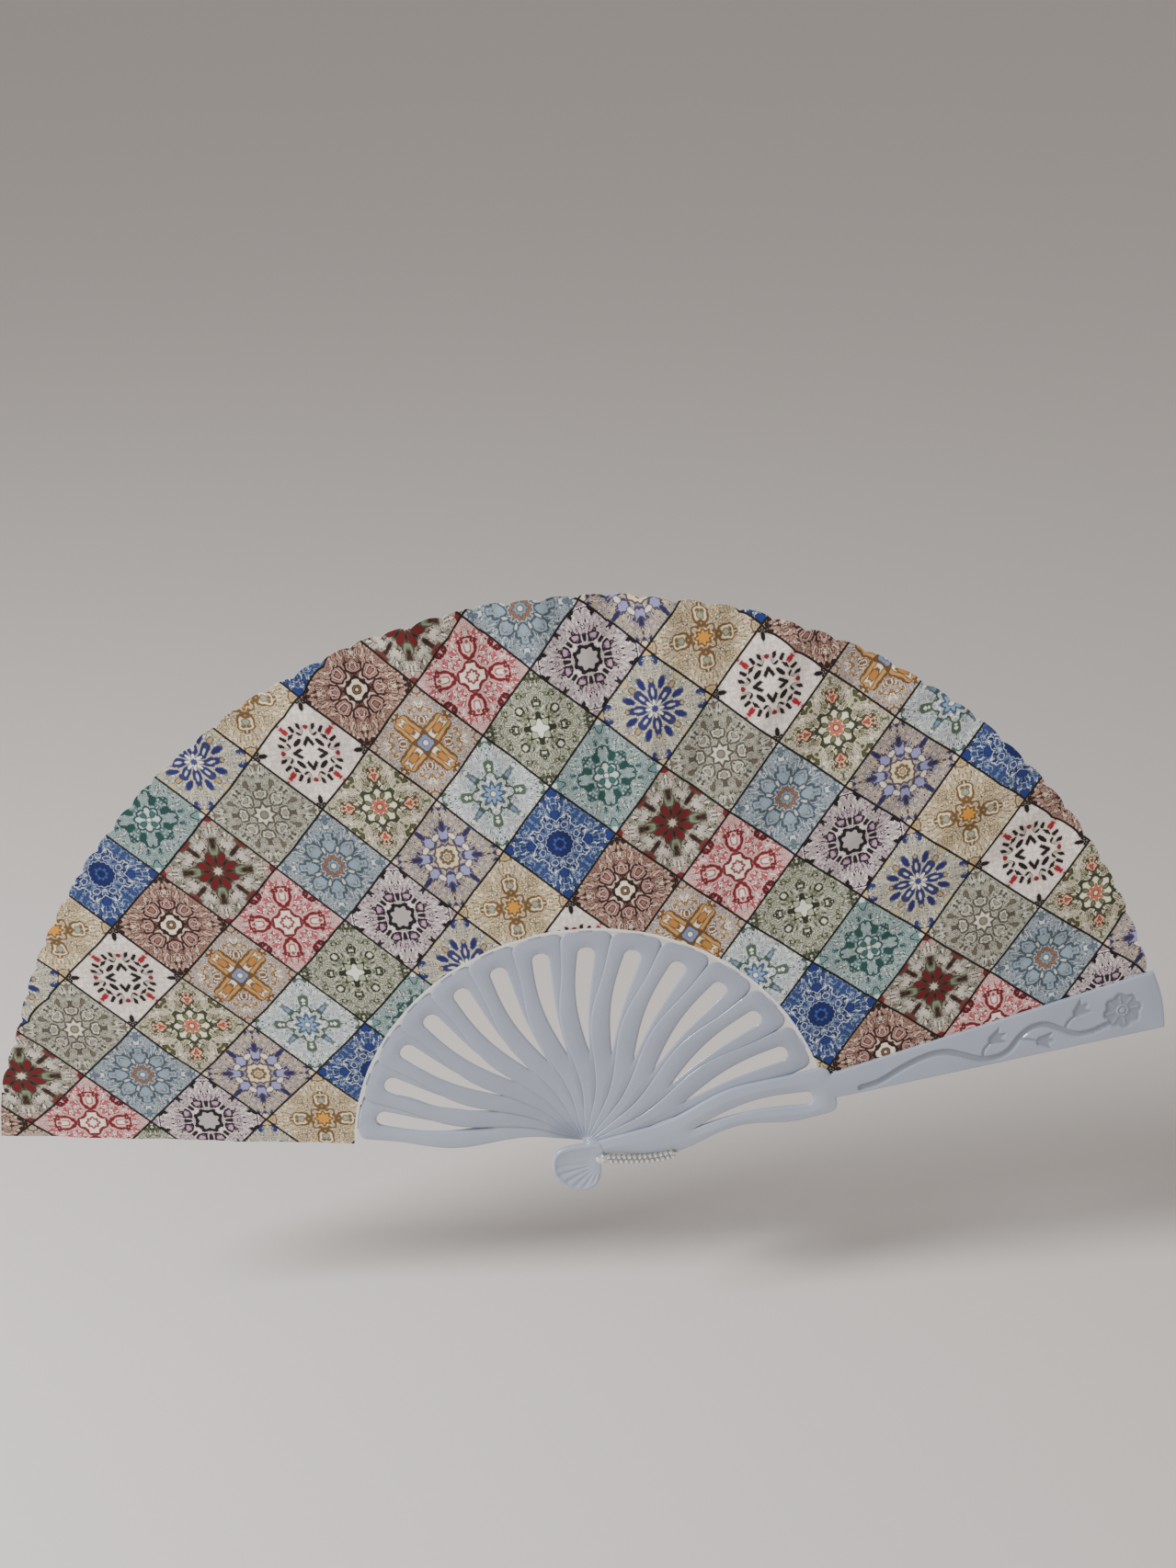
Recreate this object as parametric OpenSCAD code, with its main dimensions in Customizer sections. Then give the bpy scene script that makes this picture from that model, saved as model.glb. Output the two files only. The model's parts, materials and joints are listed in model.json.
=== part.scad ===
// Folding fan: pierced moulded blades on one rivet, two thicker guards, a pleated cloth leaf,
// and a handle with a shell-shaped flap and a strip of small crystals.
//
// The origin is on the rivet's axis, half-way through the stack of blades. The rivet lies
// along Y, the front of the open fan faces -Y, and +Z is up. Blade 0 is the front guard, at
// the right. The ribs follow it one pitch apart, each one layer further back, and the rear
// guard is the last blade, at the left. Angles are measured from +X towards +Z.

/* [Fan] */
// Distance from the rivet to the leaf's outer edge
fan_r = 213; // [175:1:260]
// Angle of the front guard above the X axis
guard_tilt = 14.5; // [0:0.1:20]
// Mean angle between neighbouring blades when the fan is open
pitch = 12.17; // [10:0.01:13]
// How far the middle ribs lean over from even spacing, in degrees
lean = 4.4; // [0:0.1:6]
// Number of ribs between the two guards
rib_count = 12; // [8:1:14]
// Gap between the flat faces of neighbouring blades
blade_gap = 0.1; // [0.05:0.05:0.2]

/* [Blade head] */
// Distance from the rivet to the outer edge of a rib's pierced head
head_r = 86; // [71:0.1:92]
// Half width of a rib at its head, on the side that shows
head_w = 9; // [8:0.1:11]
// Half width of a rib at its head, on the covered side
head_covered_w = 9.8; // [8:0.1:11]
// Radius of the two outer corners of a head
head_corner = 3.5; // [1:0.5:4]
// Length of the parallel part of the head, inwards from its edge
head_len = 12; // [8:1:16]
// Distance from the rivet to the leaf-shaped swelling
swell_r = 55; // [48:1:60]
// Half width of the swelling, on the side that shows
swell_w = 10.3; // [9:0.1:12]
// Half width of the waist, on the covered side
waist_w = 6; // [5.5:0.1:7]
// Distance from the rivet to the end of the narrow neck
neck_r = 17; // [14:1:22]
// Half width of the neck
neck_w = 2.7; // [2.6:0.1:3.5]
// Radius of the round boss at the rivet
boss_r = 3.6; // [3.5:0.1:4.5]
// Thickness of a rib
rib_t = 0.7; // [0.6:0.02:1.2]

/* [Slot] */
// Distance from the rivet to the slot's pointed inner end
slot_in = 38; // [34:1:44]
// Width of the rim left between the slot and the head's outer edge
slot_rim = 5.2; // [4:0.2:8]
// Half width of a rib's slot
slot_w = 2.9; // [2:0.1:3.2]
// Half width of the front guard's slot
guard_slot_w = 2.4; // [1.5:0.1:3]
// How far the slot bows sideways
slot_bow = 1.7; // [0:0.1:2.6]
// How far the front guard's slot bows sideways
guard_slot_bow = 2.6; // [0:0.1:3]
// Sideways place of the front guard's slot, from the blade's centre line
guard_slot_shift = -2.2; // [-3:0.1:0]

/* [Guards] */
// Thickness of a guard
guard_t = 2; // [2:0.1:3]
// How much further out a guard's head reaches than a rib's
guard_head_extra = 5; // [3:0.5:8]
// Half width of the front guard's head, on its upper side
guard_head_w = 8.6; // [8:0.1:11]
// Half width of the front guard's head, on its lower side
guard_head_low_w = 10.5; // [8:0.1:12]
// Distance from the rivet to the heel under the front guard
heel_r = 28; // [24:1:32]
// Half width of the front guard at the heel
heel_w = 9.9; // [7:0.1:11]
// Half angle of a guard's outer strip, seen from the rivet
strip_half = 3.15; // [2.4:0.005:3.5]
// How far the strip's tip passes the leaf
tip_extra = 2; // [0:0.5:4]
// Radius of the curve across the tip
tip_curve = 60; // [30:5:120]

/* [Sticks] */
// Width of a rib's stick under the leaf
stick_w = 5; // [3:0.5:7]
// Thickness of a stick
stick_t = 0.35; // [0.3:0.05:0.4]
// How far the stick stops short of the leaf's outer edge
stick_short = 8; // [4:1:15]

/* [Leaf] */
// Thickness of the leaf
leaf_t = 0.2; // [0.1:0.05:0.25]
// Gap between a head's edge and the leaf's inner edge
leaf_gap = 0.5; // [0.3:0.1:1]
// Width of the leaf's free margin below the rear guard's strip
leaf_margin = 6; // [2:0.5:8]
// Angle by which the leaf reaches under the front guard
leaf_tuck = 2; // [1:0.1:2.5]

/* [Rivet] */
// Radius of the rivet's shank
pin_r = 1; // [0.8:0.05:1.2]
// Clearance between the shank and a blade's bore, on the radius
pin_play = 0.05; // [0.02:0.01:0.1]
// Depth of the shank's seat in the front guard
pin_seat = 1; // [0.6:0.1:1.4]
// Radius of the rivet's head and of its washer
pin_head_r = 2.2; // [1.8:0.1:2.4]
// Thickness of the rivet's head
pin_head_t = 0.6; // [0.4:0.1:0.8]
// Thickness of the washer
washer_t = 0.2; // [0.1:0.05:0.3]
// Room round the rivet's head in the rear guard
head_room = 0.3; // [0.2:0.05:0.4]

/* [Handle flap] */
// Length of the shell-shaped flap from its hinge point
flap_r = 17; // [14:0.5:20]
// Drop of the flap's hinge point below the rivet
flap_drop = 6; // [4:0.5:7]
// Sideways place of the flap's hinge point
flap_shift = 1.6; // [0:0.2:3]

/* [Crystal strip] */
// Length of the row of crystals
strip_len = 27; // [24:1:30]
// Width of the metal setting behind the crystals
setting_w = 2.6; // [2.2:0.1:3.2]
// Thickness of the setting
setting_t = 0.6; // [0.4:0.1:1.2]
// Number of small crystals
crystal_count = 12; // [8:1:12]
// Radius of a small crystal
crystal_r = 0.95; // [0.7:0.05:1]
// Radius of the large crystal beside the flap
big_crystal_r = 1.8; // [1.4:0.1:2]
// How far a crystal stands off its setting
crystal_h = 0.8; // [0.5:0.1:1.2]

/* [Hidden] */
$fn = 48;
edge_steps = 8;
blade_count = rib_count + 2;
rear = blade_count - 1;
layer = rib_t + blade_gap;
stack = 2 * (guard_t + blade_gap) + rib_count * layer - blade_gap;
front_y = -stack / 2;
back_y = stack / 2;
leaf_room = rib_t - stick_t;
bore_r = pin_r + pin_play;
guard_head_r = head_r + guard_head_extra;
tip_r = fan_r + tip_extra;
leaf_in = head_r + leaf_gap;
stick_end = fan_r - stick_short;
flat_gap = 0.05;

PLASTIC = [0.58, 0.61, 0.67];
RIB_PLASTIC = [0.54, 0.57, 0.63];
CLOTH = [0.80, 0.76, 0.70];
SILVER = [0.80, 0.80, 0.78];
CRYSTAL = [0.90, 0.93, 0.97];

function two(i) = str(i < 10 ? "0" : "", i);
function rib_name(i) = str("rib_", two(i));
function pleat_name(i) = str("leaf_pleat_", two(i));

// Where a blade points, and the front face of its layer.
function blade_angle(i) = guard_tilt + i * pitch + lean * sin(180 * i / rear);
function blade_y(i) = i == 0 ? front_y : front_y + guard_t + blade_gap + (i - 1) * layer;

// A smooth step from 0 to 1, and a curve that eases from one [distance, width] to the next.
function ease(t) = (1 - cos(180 * t)) / 2;
function mix(a, b, t) = a + (b - a) * t;
function eased(stations) = [
    for (k = [0 : len(stations) - 2])
        for (j = [0 : edge_steps - 1])
            let (t = j / edge_steps, a = stations[k], b = stations[k + 1])
                [mix(a[0], b[0], t), mix(a[1], b[1], ease(t))]
];
function mirrored(points) = [for (p = points) [p[0], -p[1]]];
function reversed(points) = [for (k = [len(points) - 1 : -1 : 0]) points[k]];

// The round corner of a head of radius r and half width w, from its side to its outer arc,
// and then that arc as far as the blade's centre line.
function corner(r, w) =
    let (
        c = head_corner,
        cu = sqrt((r - c) * (r - c) - (w - c) * (w - c)),
        low = atan2(w - c, cu),
        turn = [for (k = [0 : 6]) mix(90, low, k / 6)],
        sweep = [for (k = [1 : 4]) low * (1 - k / 4)]
    )
    concat(
        [for (a = turn) [cu + c * cos(a), w - c + c * sin(a)]],
        [for (a = sweep) r * [cos(a), sin(a)]]
    );

// One side of a head from the boss outwards, at positive widths.
function head_side(stations, r, w) = concat(eased(concat(stations, [[r - head_len, w]])), corner(r, w));

// A neck and head's outline: its upper side outwards, then its lower side back.
module head_outline(upper, lower, r, upper_w, lower_w) {
    polygon(concat(head_side(upper, r, upper_w), reversed(mirrored(head_side(lower, r, lower_w)))));
}

// The pointed, bowed slot: a tip at slot_in, widest near its squared outer end.
module slot_outline(half_w, outer_r, bow) {
    cap = outer_r - 0.8 * half_w;
    span = cap - slot_in;
    steps = 14;
    function squared(v) = sign(v) * pow(abs(v), 0.6);
    function width(t) = half_w * pow(sin(90 * min(1, t * 1.45)), 0.85);
    function middle(t) = bow * sin(180 * t);
    polygon(concat(
        [for (k = [0 : steps]) let (t = k / steps) [slot_in + span * t, middle(t) + width(t)]],
        [for (a = [75 : -15 : -75]) [cap + 0.8 * half_w * squared(cos(a)), half_w * squared(sin(a))]],
        [for (k = [steps : -1 : 1]) let (t = k / steps) [slot_in + span * t, middle(t) - width(t)]]
    ));
}

module rib_outline() {
    side = [[0, neck_w], [neck_r, neck_w], [swell_r, swell_w]];
    covered = [[0, neck_w], [neck_r, neck_w], [swell_r, waist_w]];
    difference() {
        head_outline(side, covered, head_r, head_w, head_covered_w);
        slot_outline(slot_w, head_r - slot_rim, slot_bow);
    }
}

module front_guard_outline() {
    upper = [[0, neck_w], [neck_r + 5, neck_w], [swell_r + 3, swell_w - 0.7]];
    lower = [[0, neck_w], [heel_r, heel_w], [swell_r - 2, waist_w]];
    difference() {
        head_outline(upper, lower, guard_head_r, guard_head_w, guard_head_low_w);
        translate([0, guard_slot_shift]) slot_outline(guard_slot_w, guard_head_r - slot_rim - 3, guard_slot_bow);
    }
}

// A guard's plain strip: a narrow wedge from the rim of a head of radius r to a curved tip.
module strip_outline(r) {
    root = r - slot_rim / 2;
    tip_w = tip_r * tan(strip_half);
    tip_a = asin(tip_w / tip_curve);
    centre = tip_r - tip_curve;
    polygon(concat(
        [[root, -root * tan(strip_half)]],
        [for (k = [-4 : 4]) let (a = tip_a * k / 4) [centre + tip_curve * cos(a), tip_curve * sin(a)]],
        [[root, root * tan(strip_half)]]
    ));
}

// The flap is a scallop shell: it spreads to the lower left from a point under the rivet,
// and its radius falls away on both sides of its long axis.
function flap_reach(a) =
    a < 180 ? 1 - 0.5 * pow((180 - a) / 60, 1.2) : 1 - 0.75 * pow((a - 180) / 105, 2.2);
module flap_outline() {
    polygon(concat(
        [[boss_r, -flap_drop / 2]],
        [for (a = [122 : 4 : 282]) [flap_shift, -flap_drop] + flap_r * flap_reach(a) * [cos(a), sin(a)]]
    ));
}

// Draws a flat outline in the XZ plane and gives it thickness t backwards from the plane y.
module plate(y, t) {
    translate([0, y + t, 0]) rotate([90, 0, 0]) linear_extrude(t) children();
}

// A round hole or shank along the rivet's axis.
module round_y(r, y0, y1) {
    translate([0, y1, 0]) rotate([90, 0, 0]) cylinder(r = r, h = y1 - y0);
}

// A flat ring segment round the rivet's axis, between two radii and two angles.
module sector(r0, r1, a0, a1, y, t) {
    translate([0, y + t, 0])
        rotate([90, 0, 0])
            rotate([0, 0, a0])
                rotate_extrude(angle = a1 - a0, $fn = 360)
                    translate([r0, 0]) square([r1 - r0, t]);
}

module front_guard() {
    strip_cut = front_y + guard_t - leaf_room;
    step_half = strip_half + asin(max(guard_head_w, guard_head_low_w) / leaf_in);
    color(PLASTIC) difference() {
        union() {
            plate(front_y, guard_t) rotate(guard_tilt) front_guard_outline();
            plate(front_y, guard_t) rotate(guard_tilt) strip_outline(guard_head_r);
            plate(front_y, guard_t) flap_outline();
            round_y(boss_r, front_y, front_y + guard_t);
        }
        round_y(pin_r, front_y + guard_t - pin_seat, front_y + guard_t + 1);
        // the leaf lies in this step, which is wider than the head and the strip
        sector(leaf_in, tip_r + 5, guard_tilt - step_half, guard_tilt + step_half, strip_cut, 1);
    }
}

module rear_guard() {
    y = blade_y(rear);
    angle = blade_angle(rear);
    head_floor = back_y - pin_head_t - washer_t - 3 * flat_gap;
    color(PLASTIC) difference() {
        union() {
            plate(y, guard_t) rotate(angle) rib_outline();
            plate(y, guard_t) rotate(angle) strip_outline(head_r);
            round_y(boss_r, y, back_y);
        }
        round_y(bore_r, y - 1, back_y + 1);
        round_y(pin_head_r + head_room, head_floor, back_y + 1);
        sector(leaf_in - leaf_gap, tip_r + 5, angle - 2 * strip_half, angle + 2 * strip_half, y - 1, 1 + leaf_room);
    }
}

module rib(i) {
    y = blade_y(i);
    color(RIB_PLASTIC) difference() {
        union() {
            plate(y, rib_t) rotate(blade_angle(i)) rib_outline();
            round_y(boss_r, y, y + rib_t);
            plate(y + rib_t - stick_t, stick_t)
                rotate(blade_angle(i))
                    translate([head_r - slot_rim / 2, -stick_w / 2])
                        square([stick_end - head_r + slot_rim / 2, stick_w]);
        }
        round_y(bore_r, y - 1, y + rib_t + 1);
    }
}

// Each pleat is glued to the front of one stick and reaches to the middle of the next one.
module leaf_pleat(i) {
    owner = i - 1;
    start = owner == 0 ? -leaf_tuck : 0;
    y = owner == 0 ? front_y + guard_t - leaf_room : blade_y(owner) + leaf_room - leaf_t;
    angle = blade_angle(owner);
    color(CLOTH) sector(leaf_in, fan_r, angle + start, blade_angle(owner + 1), y, leaf_t);
}

// The leaf ends in a margin that runs parallel to the rear strip's lower edge.
module leaf_end_tab() {
    angle = blade_angle(rear);
    y = blade_y(rear) + leaf_room - leaf_t;
    edge_low = leaf_margin / cos(strip_half);
    edge_far = edge_low + 2 * fan_r * tan(strip_half);
    color(CLOTH) intersection() {
        sector(leaf_in, fan_r, angle, angle + 4 * strip_half, y, leaf_t);
        plate(y - 1, leaf_t + 2) rotate(angle) polygon([[0, 0], [2 * fan_r, 0], [2 * fan_r, edge_far], [0, edge_low]]);
    }
}

module rivet_pin() {
    head_y = back_y - flat_gap - pin_head_t;
    color(SILVER) {
        round_y(pin_r, front_y + guard_t - pin_seat, head_y);
        round_y(pin_head_r, head_y, head_y + pin_head_t);
    }
}

module rivet_washer() {
    y = back_y - 2 * flat_gap - pin_head_t - washer_t;
    color(SILVER) difference() {
        round_y(pin_head_r, y, y + washer_t);
        round_y(bore_r, y - 1, y + washer_t + 1);
    }
}

// The crystals sit on a thin strip that is glued to the front of the handle's lower edge and
// hangs below it in a shallow curve, from a large stone by the flap to a pointed tip.
row_start = [2.2, -3.6];
row_dip = 1.1;
function row_point(x) = row_start + [x, 0.03 * x - row_dip * sin(180 * pow(x / strip_len, 1.3))];
module row_outline() {
    steps = 18;
    points = [for (k = [0 : steps]) row_point(strip_len * k / steps)];
    polygon(concat(
        [for (p = points) p + [0, setting_w / 2]],
        [row_point(strip_len) + [setting_w, setting_w / 3]],
        [for (p = reversed(points)) p - [0, setting_w / 2]]
    ));
}

module crystal_setting() {
    y = front_y - setting_t;
    color(SILVER) union() {
        plate(y, setting_t) row_outline();
        plate(y, setting_t) translate(row_start) circle(big_crystal_r + 0.2);
    }
}

// A crystal is a short cone with a flat table, its wide side on the setting.
module crystal(at, r) {
    translate([at[0], front_y - setting_t, at[1]])
        rotate([90, 0, 0])
            cylinder(r1 = r, r2 = r * 0.55, h = crystal_h, $fn = 24);
}

module crystals() {
    spacing = (strip_len - big_crystal_r) / crystal_count;
    small_r = min(crystal_r, spacing / 2 - 0.05);
    color(CRYSTAL) {
        crystal(row_start, big_crystal_r - 0.1);
        for (k = [1 : crystal_count]) crystal(row_point(big_crystal_r + spacing * (k - 0.4)), small_r);
    }
}

front_guard();
rear_guard();
for (i = [1 : rib_count]) rib(i);
for (i = [1 : rib_count + 1]) leaf_pleat(i);
leaf_end_tab();
rivet_pin();
rivet_washer();
crystal_setting();
crystals();
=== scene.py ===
# %% [markdown]
# # A folding fan
# A folding fan is a stack of thin blades on one rivet. The two outer blades are thicker and are
# called guards, the ones between them are the ribs, and a pleated cloth leaf joins them all.
# The mechanical model already says where every blade is and how it turns, so this lesson loads
# it first and builds every surface around it, in the same place and at the same size.

# %% Load the mechanical model
import json
import math

import bmesh
import bpy
import numpy as np
from mathutils import Matrix, Vector, kdtree


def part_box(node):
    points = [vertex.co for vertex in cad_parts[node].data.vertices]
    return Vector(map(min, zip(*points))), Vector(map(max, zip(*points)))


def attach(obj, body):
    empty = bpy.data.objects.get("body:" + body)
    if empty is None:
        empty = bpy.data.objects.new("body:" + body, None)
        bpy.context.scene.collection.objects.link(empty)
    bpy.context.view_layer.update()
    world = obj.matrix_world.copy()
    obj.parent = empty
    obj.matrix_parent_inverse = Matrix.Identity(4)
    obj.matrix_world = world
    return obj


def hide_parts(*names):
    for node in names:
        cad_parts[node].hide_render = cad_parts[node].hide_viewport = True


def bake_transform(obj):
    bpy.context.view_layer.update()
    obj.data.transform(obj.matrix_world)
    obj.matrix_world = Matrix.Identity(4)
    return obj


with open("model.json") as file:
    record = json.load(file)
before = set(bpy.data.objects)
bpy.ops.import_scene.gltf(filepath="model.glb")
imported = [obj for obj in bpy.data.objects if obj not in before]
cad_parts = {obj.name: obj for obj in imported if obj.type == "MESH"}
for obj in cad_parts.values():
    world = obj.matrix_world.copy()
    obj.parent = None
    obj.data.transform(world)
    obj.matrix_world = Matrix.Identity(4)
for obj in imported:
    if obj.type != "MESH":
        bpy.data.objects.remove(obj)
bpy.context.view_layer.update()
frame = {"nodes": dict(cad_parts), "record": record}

# %% [markdown]
# ## Where the blades are
# Each hinge of the model says how far its blade is opened from the one before it, so adding the
# hinge ranges up gives every blade's direction. Each blade also lies in its own layer of depth,
# which the bounding boxes of the model's solids give. Lengths are in millimetres here, and a
# point becomes metres only when it is put into a mesh.

# %% Blade directions and layers
MM = 0.001
GUARD_TILT = 14.5
hinges = frame["record"]["behaviour"]["joints"]
openings = [hinge["range_deg"][1] for hinge in hinges]
blade_bodies = ["front"] + [hinge["child"] for hinge in hinges]
blade_angles = [GUARD_TILT + sum(openings[:i]) for i in range(len(openings) + 1)]
rib_names = [name for name in blade_bodies if name.startswith("rib_")]
blade_nodes = ["front_guard"] + rib_names + ["rear_guard"]
blade_fronts = [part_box(node)[0][1] / MM for node in blade_nodes]
REAR = len(blade_nodes) - 1
print("first and last blade at", round(blade_angles[0], 1), round(blade_angles[-1], 1), "degrees")


def blade_point(u, v, y, angle):
    """A point of a blade: u along it, v across it towards the next blade, y its depth."""
    turn = math.radians(angle)
    x = u * math.cos(turn) - v * math.sin(turn)
    z = u * math.sin(turn) + v * math.cos(turn)
    return Vector((x, y, z)) * MM


# %% [markdown]
# ## Light, floor and camera
# A product picture needs little: a large soft light from above and to the left, a weaker one from
# the right to open the shadows, and a pale floor that curves up nowhere, so that nothing competes
# with the fan. The camera looks down at the fan by about 22 degrees from a good distance, which
# keeps the outline of the open leaf nearly undistorted.

# %% Colours and the studio
def srgb(red, green, blue):
    """Turns 0-255 screen values into the linear colour that shaders work in."""
    parts = [c / 255 for c in (red, green, blue)]
    return [c / 12.92 if c <= 0.04045 else ((c + 0.055) / 1.055) ** 2.4 for c in parts] + [1.0]


def new_material(name):
    material = bpy.data.materials.new(name)
    material.use_nodes = True
    tree = material.node_tree
    return material, tree, tree.nodes["Principled BSDF"]


FLOOR_Z = -0.075
FLOOR_HALF = 8.0
FLOOR_SET_BACK = 4.0
LIT_POINT = (0, 0, 0.08)


def build_floor():
    bm = bmesh.new()
    bmesh.ops.create_grid(bm, x_segments=2, y_segments=2, size=FLOOR_HALF)
    bmesh.ops.translate(bm, verts=bm.verts, vec=(0, FLOOR_SET_BACK, FLOOR_Z))
    mesh = bpy.data.meshes.new("studio_floor")
    bm.to_mesh(mesh)
    bm.free()
    floor = bpy.data.objects.new("studio_floor", mesh)
    bpy.context.collection.objects.link(floor)
    material, _, shader = new_material("studio paper")
    shader.inputs["Base Color"].default_value = srgb(226, 221, 217)
    shader.inputs["Roughness"].default_value = 0.9
    shader.inputs["Specular IOR Level"].default_value = 0.2
    mesh.materials.append(material)


def soft_light(name, place, size, power):
    """A round soft lamp that shines at the fan."""
    lamp = bpy.data.lights.new(name, "AREA")
    lamp.shape = "DISK"
    lamp.size = size
    lamp.energy = power
    lamp_object = bpy.data.objects.new(name, lamp)
    bpy.context.collection.objects.link(lamp_object)
    lamp_object.location = place
    lamp_object.rotation_euler = (Vector(LIT_POINT) - Vector(place)).to_track_quat("-Z", "Y").to_euler()


build_floor()
soft_light("key_light", (-0.95, -0.4, 0.8), size=0.35, power=20)
soft_light("fill_light", (1.1, -0.9, 0.6), size=0.9, power=3)
world = bpy.data.worlds.new("studio")
bpy.context.scene.world = world
world.use_nodes = True
world.node_tree.nodes["Background"].inputs["Color"].default_value = srgb(214, 208, 204)
world.node_tree.nodes["Background"].inputs["Strength"].default_value = 0.6
print("floor at", FLOOR_Z, "m, lamps:", len(bpy.data.lights))

# %% The camera
CAMERA_PLACE = (-0.0731, -0.8876, 0.5113)
LOOKS_DOWN = 22.47
TURNED_RIGHT = 4.6
LENS = 63.3
FRAME_HEIGHT = 36
camera_data = bpy.data.cameras.new("camera")
camera = bpy.data.objects.new("camera", camera_data)
bpy.context.collection.objects.link(camera)
camera_data.sensor_fit = "VERTICAL"
camera_data.sensor_height = FRAME_HEIGHT
camera_data.lens = LENS
camera.location = CAMERA_PLACE
camera.rotation_euler = (math.radians(90 - LOOKS_DOWN), 0, math.radians(-TURNED_RIGHT))
bpy.context.scene.camera = camera
print("camera", round(Vector(camera.location).length, 3), "m from the rivet")

# %% [markdown]
# ## Wiring helpers
# A procedural material is a handful of nodes, and the same few come back in every finish: a noise
# that is read at some vector, a ramp that turns a number into a colour between two others, and a
# bump that tilts the shading a little. Each is wired once, in a function, and given its numbers.

# %% Noise, two tones and bump
def own_place(tree):
    """The place of a point on its piece."""
    return tree.nodes.new("ShaderNodeTexCoord").outputs["Object"]


def noise(tree, vector, scale, **settings):
    """A noise that is read at a vector. The settings are its other inputs."""
    texture = tree.nodes.new("ShaderNodeTexNoise")
    texture.inputs["Scale"].default_value = scale
    for setting, value in settings.items():
        texture.inputs[setting].default_value = value
    tree.links.new(vector, texture.inputs["Vector"])
    return texture.outputs["Fac"]


def two_tones(tree, value, low, high, start=0.0, end=1.0):
    """A colour that runs from low to high while the value runs from start to end."""
    ramp = tree.nodes.new("ShaderNodeValToRGB")
    for element, colour, position in zip(ramp.color_ramp.elements, (low, high), (start, end)):
        element.position = position
        element.color = srgb(*colour)
    tree.links.new(value, ramp.inputs["Fac"])
    return ramp.outputs["Color"]


def add_bump(tree, shader, height, strength, distance):
    bump = tree.nodes.new("ShaderNodeBump")
    bump.inputs["Strength"].default_value = strength
    bump.inputs["Distance"].default_value = distance
    tree.links.new(height, bump.inputs["Height"])
    tree.links.new(bump.outputs["Normal"], shader.inputs["Normal"])


# Used for the painted shade down in the plastic's grooves, and for the darker turning rings of the metal.
def darker(colour, share=0.86):
    return [int(c * share) for c in colour]


print("sunk parts of a (150, 158, 174) plastic are", darker((150, 158, 174)))

# %% [markdown]
# ## Glossy moulded plastic
# The blades are injection-moulded in a pale blue-grey plastic. What tells such plastic from flat
# paint is a slightly uneven colour, a soft coat of gloss that breaks up a little, and the faint
# ripple of a moulded skin. A slow noise gives the colour and the uneven gloss, and a fine one gives
# the ripple. Where a piece has grooves, their depth is an attribute of it that darkens the colour:
# this is painted shade down in the grooves.

# %% Plastic material
def moulded_plastic(name, light, dark, gloss):
    material, tree, shader = new_material(name)
    place = own_place(tree)
    cloud = noise(tree, place, 38, Detail=5)
    # Painted shade: the colour is darkened by the groove attribute, down in the grooves.
    groove_shade_amount = tree.nodes.new("ShaderNodeAttribute")
    groove_shade_amount.attribute_name = "sunk"
    groove_shade = tree.nodes.new("ShaderNodeMix")
    groove_shade.data_type = "RGBA"
    groove_shade.inputs["B"].default_value = srgb(*darker(dark))
    tree.links.new(groove_shade_amount.outputs["Fac"], groove_shade.inputs["Factor"])
    tree.links.new(two_tones(tree, cloud, dark, light, 0.3, 0.7), groove_shade.inputs["A"])
    tree.links.new(groove_shade.outputs["Result"], shader.inputs["Base Color"])
    wear = tree.nodes.new("ShaderNodeMapRange")
    wear.inputs["To Min"].default_value = gloss - 0.05
    wear.inputs["To Max"].default_value = gloss + 0.09
    tree.links.new(cloud, wear.inputs["Value"])
    tree.links.new(wear.outputs["Result"], shader.inputs["Roughness"])
    add_bump(tree, shader, noise(tree, place, 420, Detail=3), 0.12, 0.00012)
    shader.inputs["IOR"].default_value = 1.5
    shader.inputs["Coat Weight"].default_value = 0.5
    shader.inputs["Coat Roughness"].default_value = 0.07
    return material


rib_plastic = moulded_plastic("rib plastic", (160, 168, 183), (150, 158, 174), 0.25)
guard_plastic = moulded_plastic("guard plastic", (166, 175, 190), (157, 166, 182), 0.22)
print("plastics:", rib_plastic.name, "and", guard_plastic.name)

# %% [markdown]
# ## The shape of a blade
# A blade is a long plate whose two sides are smooth curves, with a bowed slot through it. It could
# be drawn as a filled outline, but then its face would be one flat polygon that can't be domed.
# So it is woven from a grid instead: the grid's columns are stations along the blade, and its rows
# run from the lower side to the slot and from the slot to the upper side. The functions below say
# how wide the blade and its slot are at each station.

# %% Easing
def clamp01(t):
    return min(1.0, max(0.0, t))


def ease(t):
    return (1 - math.cos(math.pi * clamp01(t))) / 2


def mix(a, b, t):
    return a + (b - a) * t


def crowd_both(t):
    """Even steps of t become steps that are crowded together at both ends."""
    return (1 - math.cos(math.pi * t)) / 2


print("eased steps:", [round(ease(k / 4), 3) for k in range(5)])

# %% Widths along a blade
NECK_W = 2.7
BOSS_R = 3.6
BORE_R = 1.05
CORNER_R = 3.5
HEAD_LEN = 12.0
BOSS_END = 2.38


def between(u, knots):
    """The width at u on a curve that eases from one (distance, width) knot to the next."""
    if u <= knots[0][0]:
        return knots[0][1]
    for (u0, w0), (u1, w1) in zip(knots, knots[1:]):
        if u <= u1:
            return mix(w0, w1, ease((u - u0) / (u1 - u0)))
    return knots[-1][1]


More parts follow.
